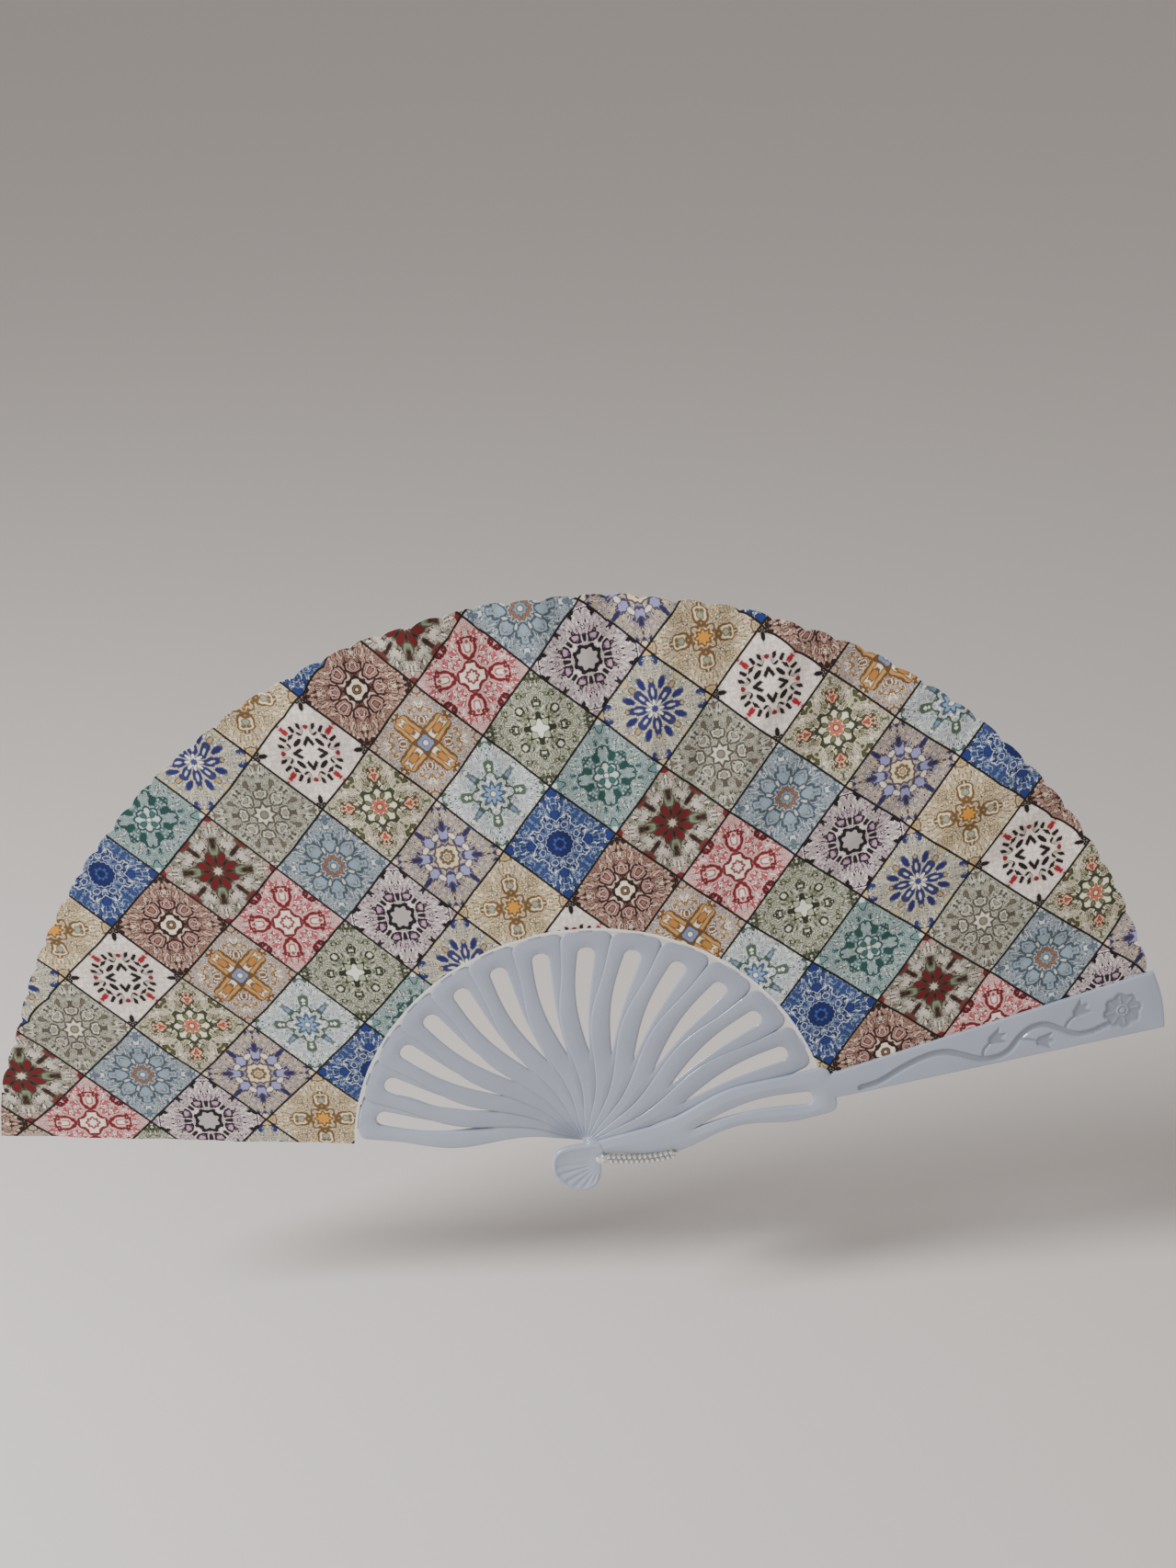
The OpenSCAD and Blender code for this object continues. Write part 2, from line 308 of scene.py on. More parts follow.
def side_width(u, knots, head_r):
    """Half width of the boss, the neck, the swelling and the head with its round corner."""
    if u < BOSS_R and math.sqrt(max(0.0, BOSS_R**2 - u**2)) > NECK_W or u < 0:
        return math.sqrt(max(0.0, BOSS_R**2 - u**2))
    width = between(u, knots)
    reach = head_r - CORNER_R
    centre = math.sqrt(reach**2 - (knots[-1][1] - CORNER_R) ** 2)
    start = math.hypot(centre, knots[-1][1])
    if u <= start:
        return width
    r = min(u, head_r)
    lean = math.acos(min(1.0, (reach**2 + r**2 - CORNER_R**2) / (2 * reach * r)))
    return r * math.sin(math.asin((knots[-1][1] - CORNER_R) / reach) + lean)


print("the boss runs into the neck", BOSS_END, "mm from the rivet's axis")

# %% The slot and the stations
SLOT_IN = 38.0
SLOT_SHIFT_FROM = 8.0
SLOT_SHIFT_FADES = 18.0


class Slot:
    """The pointed, bowed opening of a blade, widest near its round outer end."""

    def __init__(self, half_w, outer_r, bow, shift=0.0):
        self.half_w, self.end, self.bow, self.shift = half_w, outer_r, bow, shift
        self.cap = outer_r - half_w

    def gap(self, u):
        if u <= SLOT_IN or u >= self.end:
            return 0.0
        if u <= self.cap:
            t = (u - SLOT_IN) / (self.cap - SLOT_IN)
            return self.half_w * math.sin(math.pi / 2 * t) ** 0.95
        return self.half_w * (1 - ((u - self.cap) / self.half_w) ** 2.4) ** 0.45

    def middle(self, u):
        t = clamp01((u - SLOT_IN) / (self.cap - SLOT_IN))
        shifted = ease((u - SLOT_SHIFT_FROM) / (SLOT_IN - SLOT_SHIFT_FROM))
        hold = shifted * (1 - ease((u - self.end) / SLOT_SHIFT_FADES))
        return self.shift * hold + self.bow * math.sin(math.pi * t)


def run(start, end, steps, crowd="none"):
    """Stations from start up to end, crowded together at the named end."""
    shapes = {
        "none": lambda t: t,
        "start": lambda t: 1 - math.cos(math.pi / 2 * t),
        "end": lambda t: math.sin(math.pi / 2 * t),
        "both": crowd_both,
    }
    return [mix(start, end, shapes[crowd](k / steps)) for k in range(steps)]


print("four stations crowded at both ends:", [round(u, 2) for u in run(0, 1, 4, "both")])

# %% [markdown]
# ## Weaving the plate
# `create_grid` makes a square sheet of quads. Each of its corners knows its column and row, so it
# can be moved to its place on the blade. Two such bands, one on each side of the slot, share the
# middle line wherever there is no slot, and `remove_doubles` welds them there.
# The face is then domed: every point drops back by an amount that depends on how near the edge it
# is, which a k-d tree of edge samples finds quickly. Last, the face is extruded to a flat back.

# %% Grid bands
WELD = 0.004
SLIVER = 0.002
ARCS_FROM = 20.0
ARCS_BY = 60.0
TIP_BENDS_FROM = 190.0
TIP_BENDS_BY = 215.0


def lay_band(bm, columns, rows, place):
    """Adds a grid and moves its corners to place(column, 0..1)."""
    made = bmesh.ops.create_grid(bm, x_segments=len(columns) - 1, y_segments=rows, size=1)["verts"]
    for vert in made:
        column = round((vert.co.x + 1) / 2 * (len(columns) - 1))
        vert.co = place(columns[column], (vert.co.y + 1) / 2)


def arc_bend(u, v, tip_curve):
    """Columns are straight near the rivet, and bend into arcs about it further out."""
    weight = ease((u - ARCS_FROM) / (ARCS_BY - ARCS_FROM))
    x = mix(u, math.sqrt(max(0.0, u * u - v * v)) if u > abs(v) else u, weight)
    if tip_curve:
        tip = ease((u - TIP_BENDS_FROM) / (TIP_BENDS_BY - TIP_BENDS_FROM))
        x -= tip * v * v * (0.5 / tip_curve - 0.5 / max(u, 1))
    return x


def close_seams(bm):
    """Welds the points that lie together, and removes the edges that have no length left."""
    bmesh.ops.remove_doubles(bm, verts=bm.verts, dist=WELD)
    bmesh.ops.dissolve_degenerate(bm, edges=bm.edges, dist=SLIVER)


def weave_face(columns, rows, low, high, slot, bore, tip_curve=None):
    """A blade's flat face. Low, high and slot say how wide it is at each station."""
    bm = bmesh.new()

    def gap(u):
        if bore and abs(u) < BORE_R:
            return math.sqrt(BORE_R**2 - u * u)
        return slot.gap(u)

    def lower_band(u, t):
        v = mix(-low(u), slot.middle(u) - gap(u), crowd_both(t))
        return Vector((arc_bend(u, v, tip_curve), 0, v))

    def upper_band(u, t):
        v = mix(slot.middle(u) + gap(u), high(u), crowd_both(t))
        return Vector((arc_bend(u, v, tip_curve), 0, v))

    lay_band(bm, columns, rows, lower_band)
    lay_band(bm, columns, rows, upper_band)
    close_seams(bm)
    return bm


trial = weave_face([0, 10, 20], 2, lambda u: 5, lambda u: 5, Slot(1.0, 30, 0), bore=False)
print("a trial plate of two bands and two columns:", len(trial.faces), "faces")
trial.free()

# %% Doming and thickness
BORE_MARGIN = 0.3
EDGE_STEP = 0.2


def edge_distances(bm, skip_bore=True):
    """How far each point lies from the nearest open edge."""
    samples = []
    for edge in bm.edges:
        if not edge.is_boundary:
            continue
        a, b = edge.verts[0].co, edge.verts[1].co
        if skip_bore and a.length < BORE_R + BORE_MARGIN:
            continue
        steps = max(1, int((b - a).length / EDGE_STEP))
        samples += [a.lerp(b, k / steps) for k in range(steps)]
    tree = kdtree.KDTree(len(samples))
    for k, point in enumerate(samples):
        tree.insert(point, k)
    tree.balance()
    return {vert: tree.find(vert.co)[2] for vert in bm.verts}


def dome(distance, edge_drop, edge_w, crown_drop, crown_w):
    """How far the face lies back: a tight round at the edge and a broad soft crown."""
    tight = 1 - math.sqrt(1 - (1 - clamp01(distance / edge_w)) ** 2)
    broad = 1 - math.sin(math.pi / 2 * clamp01(distance / crown_w))
    return edge_drop * tight + crown_drop * broad


def thicken(bm, back):
    """Extrudes the face, and lays the copy on the back surface, a depth for each point."""
    front = bm.faces[:]
    extruded = bmesh.ops.extrude_face_region(bm, geom=front)["geom"]
    for item in extruded:
        if isinstance(item, bmesh.types.BMVert):
            item.co.y = back(item.co)
    bmesh.ops.recalc_face_normals(bm, faces=bm.faces)


print("a 0.2 mm round, halfway in:", round(dome(0.15, 0.2, 0.3, 0, 1), 3), "mm back")


# %% Shading and placing a piece
def shade(bm, sharp_angle=50):
    """Smooth shading, with the edges that are bent more than the angle left sharp."""
    for face in bm.faces:
        face.smooth = True
    limit = math.radians(sharp_angle)
    for edge in bm.edges:
        if len(edge.link_faces) == 2:
            edge.smooth = edge.calc_face_angle(0) < limit


def finish_piece(name, bm, body, stands_for, materials, transform=None):
    """Puts a millimetre mesh in place, gives it its finishes and makes it ride on its body."""
    bmesh.ops.scale(bm, vec=(MM, MM, MM), verts=bm.verts)
    if transform is not None:
        bmesh.ops.transform(bm, matrix=transform, verts=bm.verts)
    mesh = bpy.data.meshes.new(name)
    bm.to_mesh(mesh)
    for material in materials:
        mesh.materials.append(material)
    piece = bpy.data.objects.new(name, mesh)
    bpy.context.collection.objects.link(piece)
    if body is not None:
        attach(piece, body)
    if stands_for:
        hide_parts(*stands_for)
    return piece


def blade_transform(index, y):
    """Turns a blade's mesh to its direction and moves it back to its layer."""
    turn = Matrix.Rotation(-math.radians(blade_angles[index]), 4, "Y")
    return Matrix.Translation((0, y * MM, 0)) @ turn


print("the first rib is turned by", round(blade_angles[1], 1), "degrees")

# %% [markdown]
# ## The twelve ribs
# All ribs come from one mould, so the mesh is woven once and copied. A rib's head shows only on one
# side, because the blade in front covers the other. Behind the leaf a rib goes on as a thin flat
# stick, which is a beveled box that starts under the head's rim.

# %% Ribs
HEAD_R = 86.0
RIB_T = 0.7
STICK_W = 5.0
STICK_T = 0.35
STICK_END = 205.0
STICK_TUCK = 2.6
STICK_INSET = 0.01
NECK_END = 17
SWELLING = 55
CORNER_LEN = 3.25
rib_slot = Slot(3.1, HEAD_R - 6.2, 1.7)
rib_upper = [(0, NECK_W), (NECK_END, NECK_W), (SWELLING, 10.3), (HEAD_R - HEAD_LEN, 9.0)]
rib_lower = [(0, NECK_W), (NECK_END, NECK_W), (SWELLING, 6.0), (HEAD_R - HEAD_LEN, 9.8)]


def rib_columns():
    corner = HEAD_R - CORNER_LEN
    return (
        run(-BOSS_R, -BORE_R, 5, "start") + run(-BORE_R, BORE_R, 8, "both")
        + run(BORE_R, BOSS_END, 2) + run(BOSS_END, NECK_END, 6) + run(NECK_END, SLOT_IN, 9)
        + run(SLOT_IN, 60, 12, "start") + run(60, rib_slot.cap, 9)
        + run(rib_slot.cap, rib_slot.end, 6, "end") + run(rib_slot.end, corner, 3)
        + run(corner, HEAD_R, 8, "end") + [HEAD_R]
    )


def add_stick(bm, depth):
    """The stick behind the leaf, from under the head's rim out to the cloth's edge zone."""
    start, end = HEAD_R - STICK_TUCK, STICK_END
    made = bmesh.ops.create_cube(bm, size=1)["verts"]
    bmesh.ops.scale(bm, vec=(end - start, STICK_T, STICK_W), verts=made)
    bmesh.ops.translate(bm, vec=((start + end) / 2, depth + STICK_T / 2, 0), verts=made)
    edges = list({edge for vert in made for edge in vert.link_edges})
    bmesh.ops.bevel(bm, geom=edges, offset=0.1, segments=2, profile=0.5, affect="EDGES", material=-1)


def rib_mesh():
    bm = weave_face(
        rib_columns(), 8,
        lambda u: side_width(u, rib_lower, HEAD_R), lambda u: side_width(u, rib_upper, HEAD_R),
        rib_slot, bore=True,
    )
    for vert, distance in edge_distances(bm).items():
        vert.co.y = dome(distance, 0.2, 0.3, 0.36, 4.6)
    thicken(bm, lambda co: RIB_T)
    add_stick(bm, RIB_T - STICK_T - STICK_INSET)
    shade(bm)
    return bm


rib_source = rib_mesh()
print("one rib:", len(rib_source.faces), "faces")
for index, node in enumerate(rib_names, start=1):
    place = blade_transform(index, blade_fronts[index])
    finish_piece(node + "_moulding", rib_source.copy(), node, [node], [rib_plastic], place)

# %% [markdown]
# ## The rear guard
# The rear guard has a rib's head and a plain strip that widens outwards, and is nearly three times
# as thick as a rib. It is woven the same way, with more stations for the strip. On its back a round
# recess holds the rivet's head.
# A recess through a woven grid is awkward to weave, and easy to cut: the Boolean modifier
# subtracts a short cylinder, and the result is kept as the piece's mesh.

# %% Strips of the guards
GUARD_T = 2.0
STRIP_HALF = math.radians(3.15)
TIP_R = 215.0
TIP_CURVE = 60.0
LEAF_IN = 86.5
STEP = RIB_T - STICK_T
SHOULDER = 0.05
STRIP_FROM = 0.5


def guard_side(knots, head_r):
    """A guard's half width: the head's, and from a sharp shoulder on the strip's."""
    def width(u):
        strip = u * math.sin(STRIP_HALF)
        if u >= head_r:
            return strip if u > head_r + SHOULDER / 2 else max(strip, side_width(u, knots, head_r))
        return side_width(u, knots, head_r)

    return width


def strip_columns(head_r):
    """Stations just past the head, for a clean shoulder, and the first one of the strip."""
    return [head_r + SHOULDER], head_r + STRIP_FROM


def cut_away(piece, cutter_bm):
    """Subtracts one closed mesh from a piece, and keeps the result as the piece's mesh."""
    mesh = bpy.data.meshes.new("cutter")
    cutter_bm.to_mesh(mesh)
    cutter = bpy.data.objects.new("cutter", mesh)
    bpy.context.collection.objects.link(cutter)
    cut = piece.modifiers.new("cut", "BOOLEAN")
    cut.object = cutter
    cut.operation = "DIFFERENCE"
    cut.solver = "EXACT"
    bpy.context.view_layer.update()
    graph = bpy.context.evaluated_depsgraph_get()
    result = bpy.data.meshes.new_from_object(piece.evaluated_get(graph))
    piece.modifiers.clear()
    piece.data = result
    bpy.data.objects.remove(cutter)


print("strips are", round(2 * TIP_R * math.sin(STRIP_HALF), 1), "mm wide at the tip")

# %% Rear guard
rear_front = blade_fronts[REAR]
RECESS_R = 2.5
RECESS_DEPTH = 0.95


def rear_guard_mesh():
    shoulder, strip_in = strip_columns(HEAD_R)
    columns = rib_columns() + shoulder + run(strip_in, TIP_R - 3, 40)
    columns += run(TIP_R - 3, TIP_R, 6, "end") + [TIP_R]
    bm = weave_face(
        columns, 8, guard_side(rib_lower, HEAD_R), guard_side(rib_upper, HEAD_R),
        rib_slot, bore=True, tip_curve=TIP_CURVE,
    )
    for vert, distance in edge_distances(bm).items():
        radius = math.hypot(vert.co.x, vert.co.z)
        on_strip = ease((radius - HEAD_R + 0.3) / 0.6)
        drop = dome(distance, 0.4, 0.5, 0.4, 4.6)
        vert.co.y = mix(drop, STEP + dome(distance, 0.3, 0.4, 0.05, 4), on_strip)
    thicken(bm, lambda co: GUARD_T)
    shade(bm)
    return bm


rear_piece = finish_piece(
    "rear_guard_moulding", rear_guard_mesh(), "rear", ["rear_guard"], [guard_plastic],
    blade_transform(REAR, rear_front),
)
recess = bmesh.new()
bmesh.ops.create_cone(
    recess, cap_ends=True, segments=64, radius1=RECESS_R, radius2=RECESS_R, depth=2 * RECESS_DEPTH
)
lie_along_y = Matrix.Rotation(math.pi / 2, 3, "X")
bmesh.ops.rotate(recess, cent=(0, 0, 0), matrix=lie_along_y, verts=recess.verts)
bmesh.ops.translate(recess, vec=(0, rear_front + GUARD_T, 0), verts=recess.verts)
bmesh.ops.scale(recess, vec=(MM, MM, MM), verts=recess.verts)
cut_away(rear_piece, recess)
print("rear guard:", len(rear_piece.data.polygons), "faces")

# %% [markdown]
# ## The front guard and its sunk vine
# The front guard's strip carries a climbing vine that is sunk into it: a stem, three buds and an
# open flower. It could be a bump in the material, but a groove catches light from the side only
# if it is really there. So the strip's stations are crowded to a fraction of a millimetre, and
# every point is pushed back by a groove depth. Each motif is a distance: to the stem's curve, to a
# bud's outline, or to the flower's lobed edge, and a soft step turns distance into a wall. The depth
# is also kept as an attribute, so that the material can paint a little shade down in the grooves.

# %% The vine as distances
STEM = [
    (100.7, -3.4), (107.5, -2.9), (117, 0.2), (126.2, 2.2), (133.5, 1.9), (139, -0.9), (144.5, -4.3),
    (150.3, -5.7), (156, -4.4), (161.2, 0.0), (166.1, 2.4), (171.3, 2.3), (176, -0.9), (180.5, -4.3),
    (186, -5.6), (194, -4.2),
]
STALKS = [
    [(146.5, -5.0), (147.6, -1.2), (151.0, 1.2)],
    [(160.6, -0.6), (164.2, -2.0), (167.5, -3.6)],
    [(177.8, -2.6), (179.4, 0.6), (182.6, 2.6)],
]
BUDS = [((152.4, 1.9), 12), ((169.4, -4.2), -14), ((184.6, 4.1), 28)]
BUD_OUTLINE = [
    (-2.8, 0), (-2.1, 1.5), (-0.2, 2.3), (3.2, 3.6), (2.1, 1.3),
    (4.4, 0.1), (2.1, -1.2), (3.2, -3.5), (-0.2, -2.2), (-2.1, -1.5),
]
FLOWER = (200.0, -0.4)
FLOWER_R = 7.2
STEM_DEPTH = 0.62
STALK_DEPTH = 0.5
BUD_DEPTH = 0.58
FLOWER_DEPTH = 0.6
RIDGE_HEIGHT = 0.28
EYE_HEIGHT = 0.4


def smooth_path(points, steps=6):
    """A Catmull-Rom curve through given points."""
    path = [points[0]] + points + [points[-1]]
    out = []
    for a, b, c, d in zip(path, path[1:], path[2:], path[3:]):
        for k in range(steps):
            t = k / steps
            out.append(tuple(
                0.5 * (2 * b[i] + (c[i] - a[i]) * t + (2 * a[i] - 5 * b[i] + 4 * c[i] - d[i]) * t * t
                       + (3 * b[i] - a[i] - 3 * c[i] + d[i]) * t**3)
                for i in (0, 1)
            ))
    return out + [points[-1]]


print("the stem has", len(smooth_path(STEM)), "points")


# %% Distances
def distance_to_path(points, path):
    """The distance from each point to a chain of straight pieces, and how far along it is."""
    best = np.full(len(points), 1e9)
    along = np.zeros(len(points))
    for k, (a, b) in enumerate(zip(path, path[1:])):
        a, b = np.array(a), np.array(b)
        t = np.clip(((points - a) @ (b - a)) / max(1e-9, (b - a) @ (b - a)), 0, 1)
        d = np.linalg.norm(points - a - t[:, None] * (b - a), axis=1)
        closer = d < best
        best[closer] = d[closer]
        along[closer] = ((k + t) / (len(path) - 1))[closer]
    return best, along


def inside_outline(points, outline):
    """Whether each point lies in the outline: it does if a ray from it crosses it oddly often."""
    inside = np.zeros(len(points), bool)
    for (x0, y0), (x1, y1) in zip(outline, outline[1:] + outline[:1]):
        crosses = (y0 > points[:, 1]) != (y1 > points[:, 1])
        slope = (x1 - x0) / ((y1 - y0) or 1e-9)
        inside ^= crosses & (points[:, 0] < x0 + slope * (points[:, 1] - y0))
    return inside


def sunk(distance, wall=0.22):
    """1 well inside a motif, 0 outside it, with a soft wall across distance zero."""
    t = np.clip(0.5 - distance / (2 * wall), 0, 1)
    return t * t * (3 - 2 * t)


def vine_depth(points):
    """How deep the vine's grooves are at each point of the strip."""
    stem, along = distance_to_path(points, smooth_path(STEM))
    depth = STEM_DEPTH * sunk(stem - (1.3 - 0.2 * along))
    for stalk in STALKS:
        d, _ = distance_to_path(points, smooth_path(stalk))
        depth = np.maximum(depth, STALK_DEPTH * sunk(d - 0.5))
    for (u, v), turn in BUDS:
        c, s = math.cos(math.radians(turn)), math.sin(math.radians(turn))
        outline = [(u + c * a - s * b, v + s * a + c * b) for a, b in BUD_OUTLINE]
        d, _ = distance_to_path(points, outline + outline[:1])
        d = np.where(inside_outline(points, outline), -d, d)
        depth = np.maximum(depth, BUD_DEPTH * sunk(d))
    out = points - np.array(FLOWER)
    r, a = np.hypot(out[:, 0], out[:, 1]), np.arctan2(out[:, 1], out[:, 0])
    lobes = FLOWER_R * (0.86 + 0.14 * np.abs(np.cos(4 * a)))
    ridges = np.clip(np.cos(8 * a), 0, 1) ** 6 * sunk(np.abs(r - 4.5) - 1.7)
    flower = FLOWER_DEPTH * sunk(r - lobes) - RIDGE_HEIGHT * ridges
    flower = flower - EYE_HEIGHT * sunk(r - 2.3) + EYE_HEIGHT * sunk(np.abs(r - 1.35) - 0.25)
    return np.maximum(depth, flower)


groove_trial = vine_depth(np.array([STEM[0], BUDS[0][0], (120.0, 8.0)]))
print("depth in the stem, in a bud and beside the vine:", [round(float(d), 2) for d in groove_trial])

# %% Front guard plate
GUARD_HEAD_R = HEAD_R + 5
GUARD_CORNER_LEN = 3.3
FACE_BEHIND = 1.3
VINE_FROM = 99
VINE_TO = 208
guard_slot = Slot(2.8, GUARD_HEAD_R - 8.2, 2.6, -2.2)
guard_upper = [(0, NECK_W), (22, NECK_W), (58, 9.6), (GUARD_HEAD_R - HEAD_LEN, 8.6)]
guard_lower = [(0, NECK_W), (28, 9.9), (53, 6.0), (GUARD_HEAD_R - HEAD_LEN, 10.5)]


def front_guard_mesh():
    corner = GUARD_HEAD_R - GUARD_CORNER_LEN
    shoulder, strip_in = strip_columns(GUARD_HEAD_R)
    columns = (
        run(-BOSS_R, BOSS_END, 12, "start") + run(BOSS_END, SLOT_IN, 26)
        + run(SLOT_IN, 60, 14, "start") + run(60, guard_slot.cap, 12)
        + run(guard_slot.cap, guard_slot.end, 6, "end") + run(guard_slot.end, corner, 4)
        + run(corner, GUARD_HEAD_R, 9, "end") + [GUARD_HEAD_R] + shoulder
        + run(strip_in, VINE_FROM, 12) + run(VINE_FROM, VINE_TO, 330) + run(VINE_TO, TIP_R - 1.5, 8)
        + run(TIP_R - 1.5, TIP_R, 5, "end") + [TIP_R]
    )
    bm = weave_face(
        columns, 28, guard_side(guard_lower, GUARD_HEAD_R), guard_side(guard_upper, GUARD_HEAD_R),
        guard_slot, bore=False, tip_curve=TIP_CURVE,
    )
    groove_shade_layer = bm.verts.layers.float.new("sunk")
    distances = edge_distances(bm, skip_bore=False)
    groove = vine_depth(np.array([(vert.co.x, vert.co.z) for vert in distances]))
    for (vert, distance), depth in zip(distances.items(), groove):
        crown = mix(0.6, 0.22, ease((vert.co.x - 80) / 22))
        vert.co.y = dome(distance, 0.42, 0.6, crown, 5.2) + depth
        # The groove depth also sets how much shade is painted into the colour here.
        vert[groove_shade_layer] = depth / STEM_DEPTH
    thicken(bm, lambda co: GUARD_T - STEP * ease((math.hypot(co.x, co.z) - LEAF_IN + 0.3) / 0.3))
    back = [vert for vert in bm.verts if vert.co.y > FACE_BEHIND]
    for vert in back:
        vert[groove_shade_layer] = 0
    shade(bm, 60)
    return bm


front_front = blade_fronts[0]
front_bm = front_guard_mesh()
print("front guard:", len(front_bm.faces), "faces")
finish_piece(
    "front_guard_moulding", front_bm, "front", ["front_guard"], [guard_plastic],
    blade_transform(0, front_front),
)

# %% [markdown]
# ## The shell-shaped flap
# The flap at the handle's end is a small scallop shell. Its top edge runs on from the handle's, it
# is widest to the lower left, and it has a soft raised rim and flutes that fan out from its hinge
# point. A grid whose columns are angles and whose rows are radii covers such a shape: each column
# only has to know how far away the outline is. The flutes are a cosine of the angle.

# %% Flap
FLAP_HINGE = Vector((2.4, 0, -5.4))
FLAP_CENTRE = Vector((-6.4, 0, -7.2))
FLAP_T = 2.0
FLUTES_FROM = 172
FLUTES_TO = 285
FLUTE_ANGLE = 14
FLUTE_DEPTH = 0.4
RIM_HEIGHT = 0.18
BOWL_DEPTH = 0.4
FLAP_OUTLINE = [
    (2.2, 2.7), (-2.2, 2.4), (-7.2, 2.0), (-12.0, 0.7),
    (-14.7, -1.8), (-15.4, -5.4), (-14.9, -9.5), (-12.3, -13.2),
    (-8.7, -15.9), (-4.6, -17.1), (-0.6, -16.0), (1.7, -13.5),
    (2.7, -9.8), (2.7, -6.3), (3.4, -3.0), (3.5, 0.4),
]


def flap_mesh():
    bm = bmesh.new()
    closed = smooth_path(FLAP_OUTLINE + FLAP_OUTLINE[:1])[:-1]
    outline = [Vector((x, 0, z)) - FLAP_CENTRE for x, z in closed]
    turns = np.degrees([math.atan2(point.z, point.x) for point in outline])
    reaches = [point.length for point in outline]

    def place(a, t):
        turn = math.radians(a)
        r = np.interp(a, turns, reaches, period=360) * math.sin(math.pi / 2 * t)
        return FLAP_CENTRE + Vector((r * math.cos(turn), 0, r * math.sin(turn)))

    lay_band(bm, run(0, 360, 150) + [360], 30, place)
    close_seams(bm)
    for vert, distance in edge_distances(bm, skip_bore=False).items():
        out = vert.co - FLAP_HINGE
        a = math.degrees(math.atan2(out.z, out.x)) % 360
        fluted = ease((a - FLUTES_FROM) / 22) * ease((out.length - 2.5) / 5) * ease((FLUTES_TO - a) / 12)
        flute = abs(math.cos(math.radians((a - 176) * 180 / FLUTE_ANGLE)))
        rim = math.exp(-(((distance - 1.0) / 0.6) ** 2)) * ease((out.length - 5) / 4)
        bowl = BOWL_DEPTH * ease(distance / 6)
        grooves = fluted * FLUTE_DEPTH * (1 - flute) * (1 - rim)
        vert.co.y = dome(distance, 0.5, 0.7, 0.1, 3) + bowl + grooves - RIM_HEIGHT * rim
    thicken(bm, lambda co: FLAP_T)
    shade(bm, 60)
    return bm


flap_bm = flap_mesh()
print("flap:", len(flap_bm.faces), "faces")
finish_piece(
    "handle_flap_moulding", flap_bm, "front", [], [guard_plastic],
    Matrix.Translation((0, front_front * MM, 0)),
)

# %% [markdown]
# ## Rivet
# The rivet's head and washer lie in the rear guard's recess, where they can only be seen from
# behind. The model's own solids have the right shape, so they stay, and only get a metal finish:
# nickel with fine turning marks, which a wave texture in rings about the rivet's axis gives.

# %% Metal finishes
def turned_metal(name, colour, roughness):
    material, tree, shader = new_material(name)
    rings = tree.nodes.new("ShaderNodeTexWave")
    rings.wave_type = "RINGS"
    rings.rings_direction = "Y"
    rings.inputs["Scale"].default_value = 900
    rings.inputs["Distortion"].default_value = 1.5
    tree.links.new(own_place(tree), rings.inputs["Vector"])
    tone = two_tones(tree, rings.outputs["Fac"], darker(colour), colour)
    tree.links.new(tone, shader.inputs["Base Color"])
    add_bump(tree, shader, rings.outputs["Fac"], 0.2, 0.00003)
    shader.inputs["Metallic"].default_value = 1.0
    shader.inputs["Roughness"].default_value = roughness
    return material


rivet_metal = turned_metal("rivet nickel", (196, 192, 184), 0.28)
silver = turned_metal("silver setting", (214, 212, 204), 0.22)
for node in ("rivet_pin", "rivet_washer"):
    solid = frame["nodes"][node]
    solid.data.materials.clear()
    solid.data.materials.append(rivet_metal)
    print(node, "is of", rivet_metal.name)

# %% [markdown]
# ## The crystal row
# A double row of small cut stones runs along the handle's lower edge, in silver cups, from a large
# round stone beside the flap to a pointed end. A cut stone is an eight-sided disc that is extruded
# three times, each time turned by half a side and the last two times made smaller too. Splitting
# the twisted sides into triangles gives the facets. Real facets catch the light at different
# moments, and that is the sparkle. On top of that, glints are painted into the stones' colour: a
# fine noise makes it near white in spots.

# %% Stones and cups
ROW_START = (2.4, -3.2)
ROW_LEN = 27.0
ROW_DIP = 1.1
BIG_STONE_R = 2.0
SMALL_STONE_R = 0.92
ROW_HALF = 0.93
STONE_COUNT = 13
SETTING_T = 0.6
STONE_H = 0.8
STONE_SIDES = 8
STONE_RISES = [(0.12, 1.0), (0.42, 0.82), (0.38, 0.68)]
CLAWS = 4
CLAW_R = 0.17


def row_point(x):
    """A point of the row's gently sagging middle line, x millimetres from its start."""
    z = ROW_START[1] + 0.03 * x - ROW_DIP * math.sin(math.pi * (max(0, x) / ROW_LEN) ** 1.3)
    return ROW_START[0] + x, z


def twist_up(bm, ring_faces, rise, scale, centre):
    """Extrudes a cap forwards, shrinks it and turns it by half of one of its eight sides."""
    made = bmesh.ops.extrude_face_region(bm, geom=ring_faces)["geom"]
    verts = [item for item in made if isinstance(item, bmesh.types.BMVert)]
    bmesh.ops.translate(bm, vec=(0, -rise, 0), verts=verts)
    around = Matrix.Translation(centre)
    twist = Matrix.Rotation(math.pi / STONE_SIDES, 4, "Y") @ Matrix.Diagonal((scale, 1, scale, 1))
    bmesh.ops.transform(bm, matrix=around @ twist @ around.inverted(), verts=verts)
    bmesh.ops.delete(bm, geom=ring_faces, context="FACES")
    return [item for item in made if isinstance(item, bmesh.types.BMFace)]


def add_stone(bm, x, z, radius, y):
    made = bmesh.ops.create_circle(
        bm, cap_ends=True, radius=radius, segments=STONE_SIDES,
        matrix=Matrix.Translation((x, y, z)) @ Matrix.Rotation(math.pi / 2, 4, "X"),
    )["verts"]
    cap = list({face for vert in made for face in vert.link_faces})
    for rise, scale in STONE_RISES:
        cap = twist_up(bm, cap, rise * STONE_H, scale, Vector((x, 0, z)))


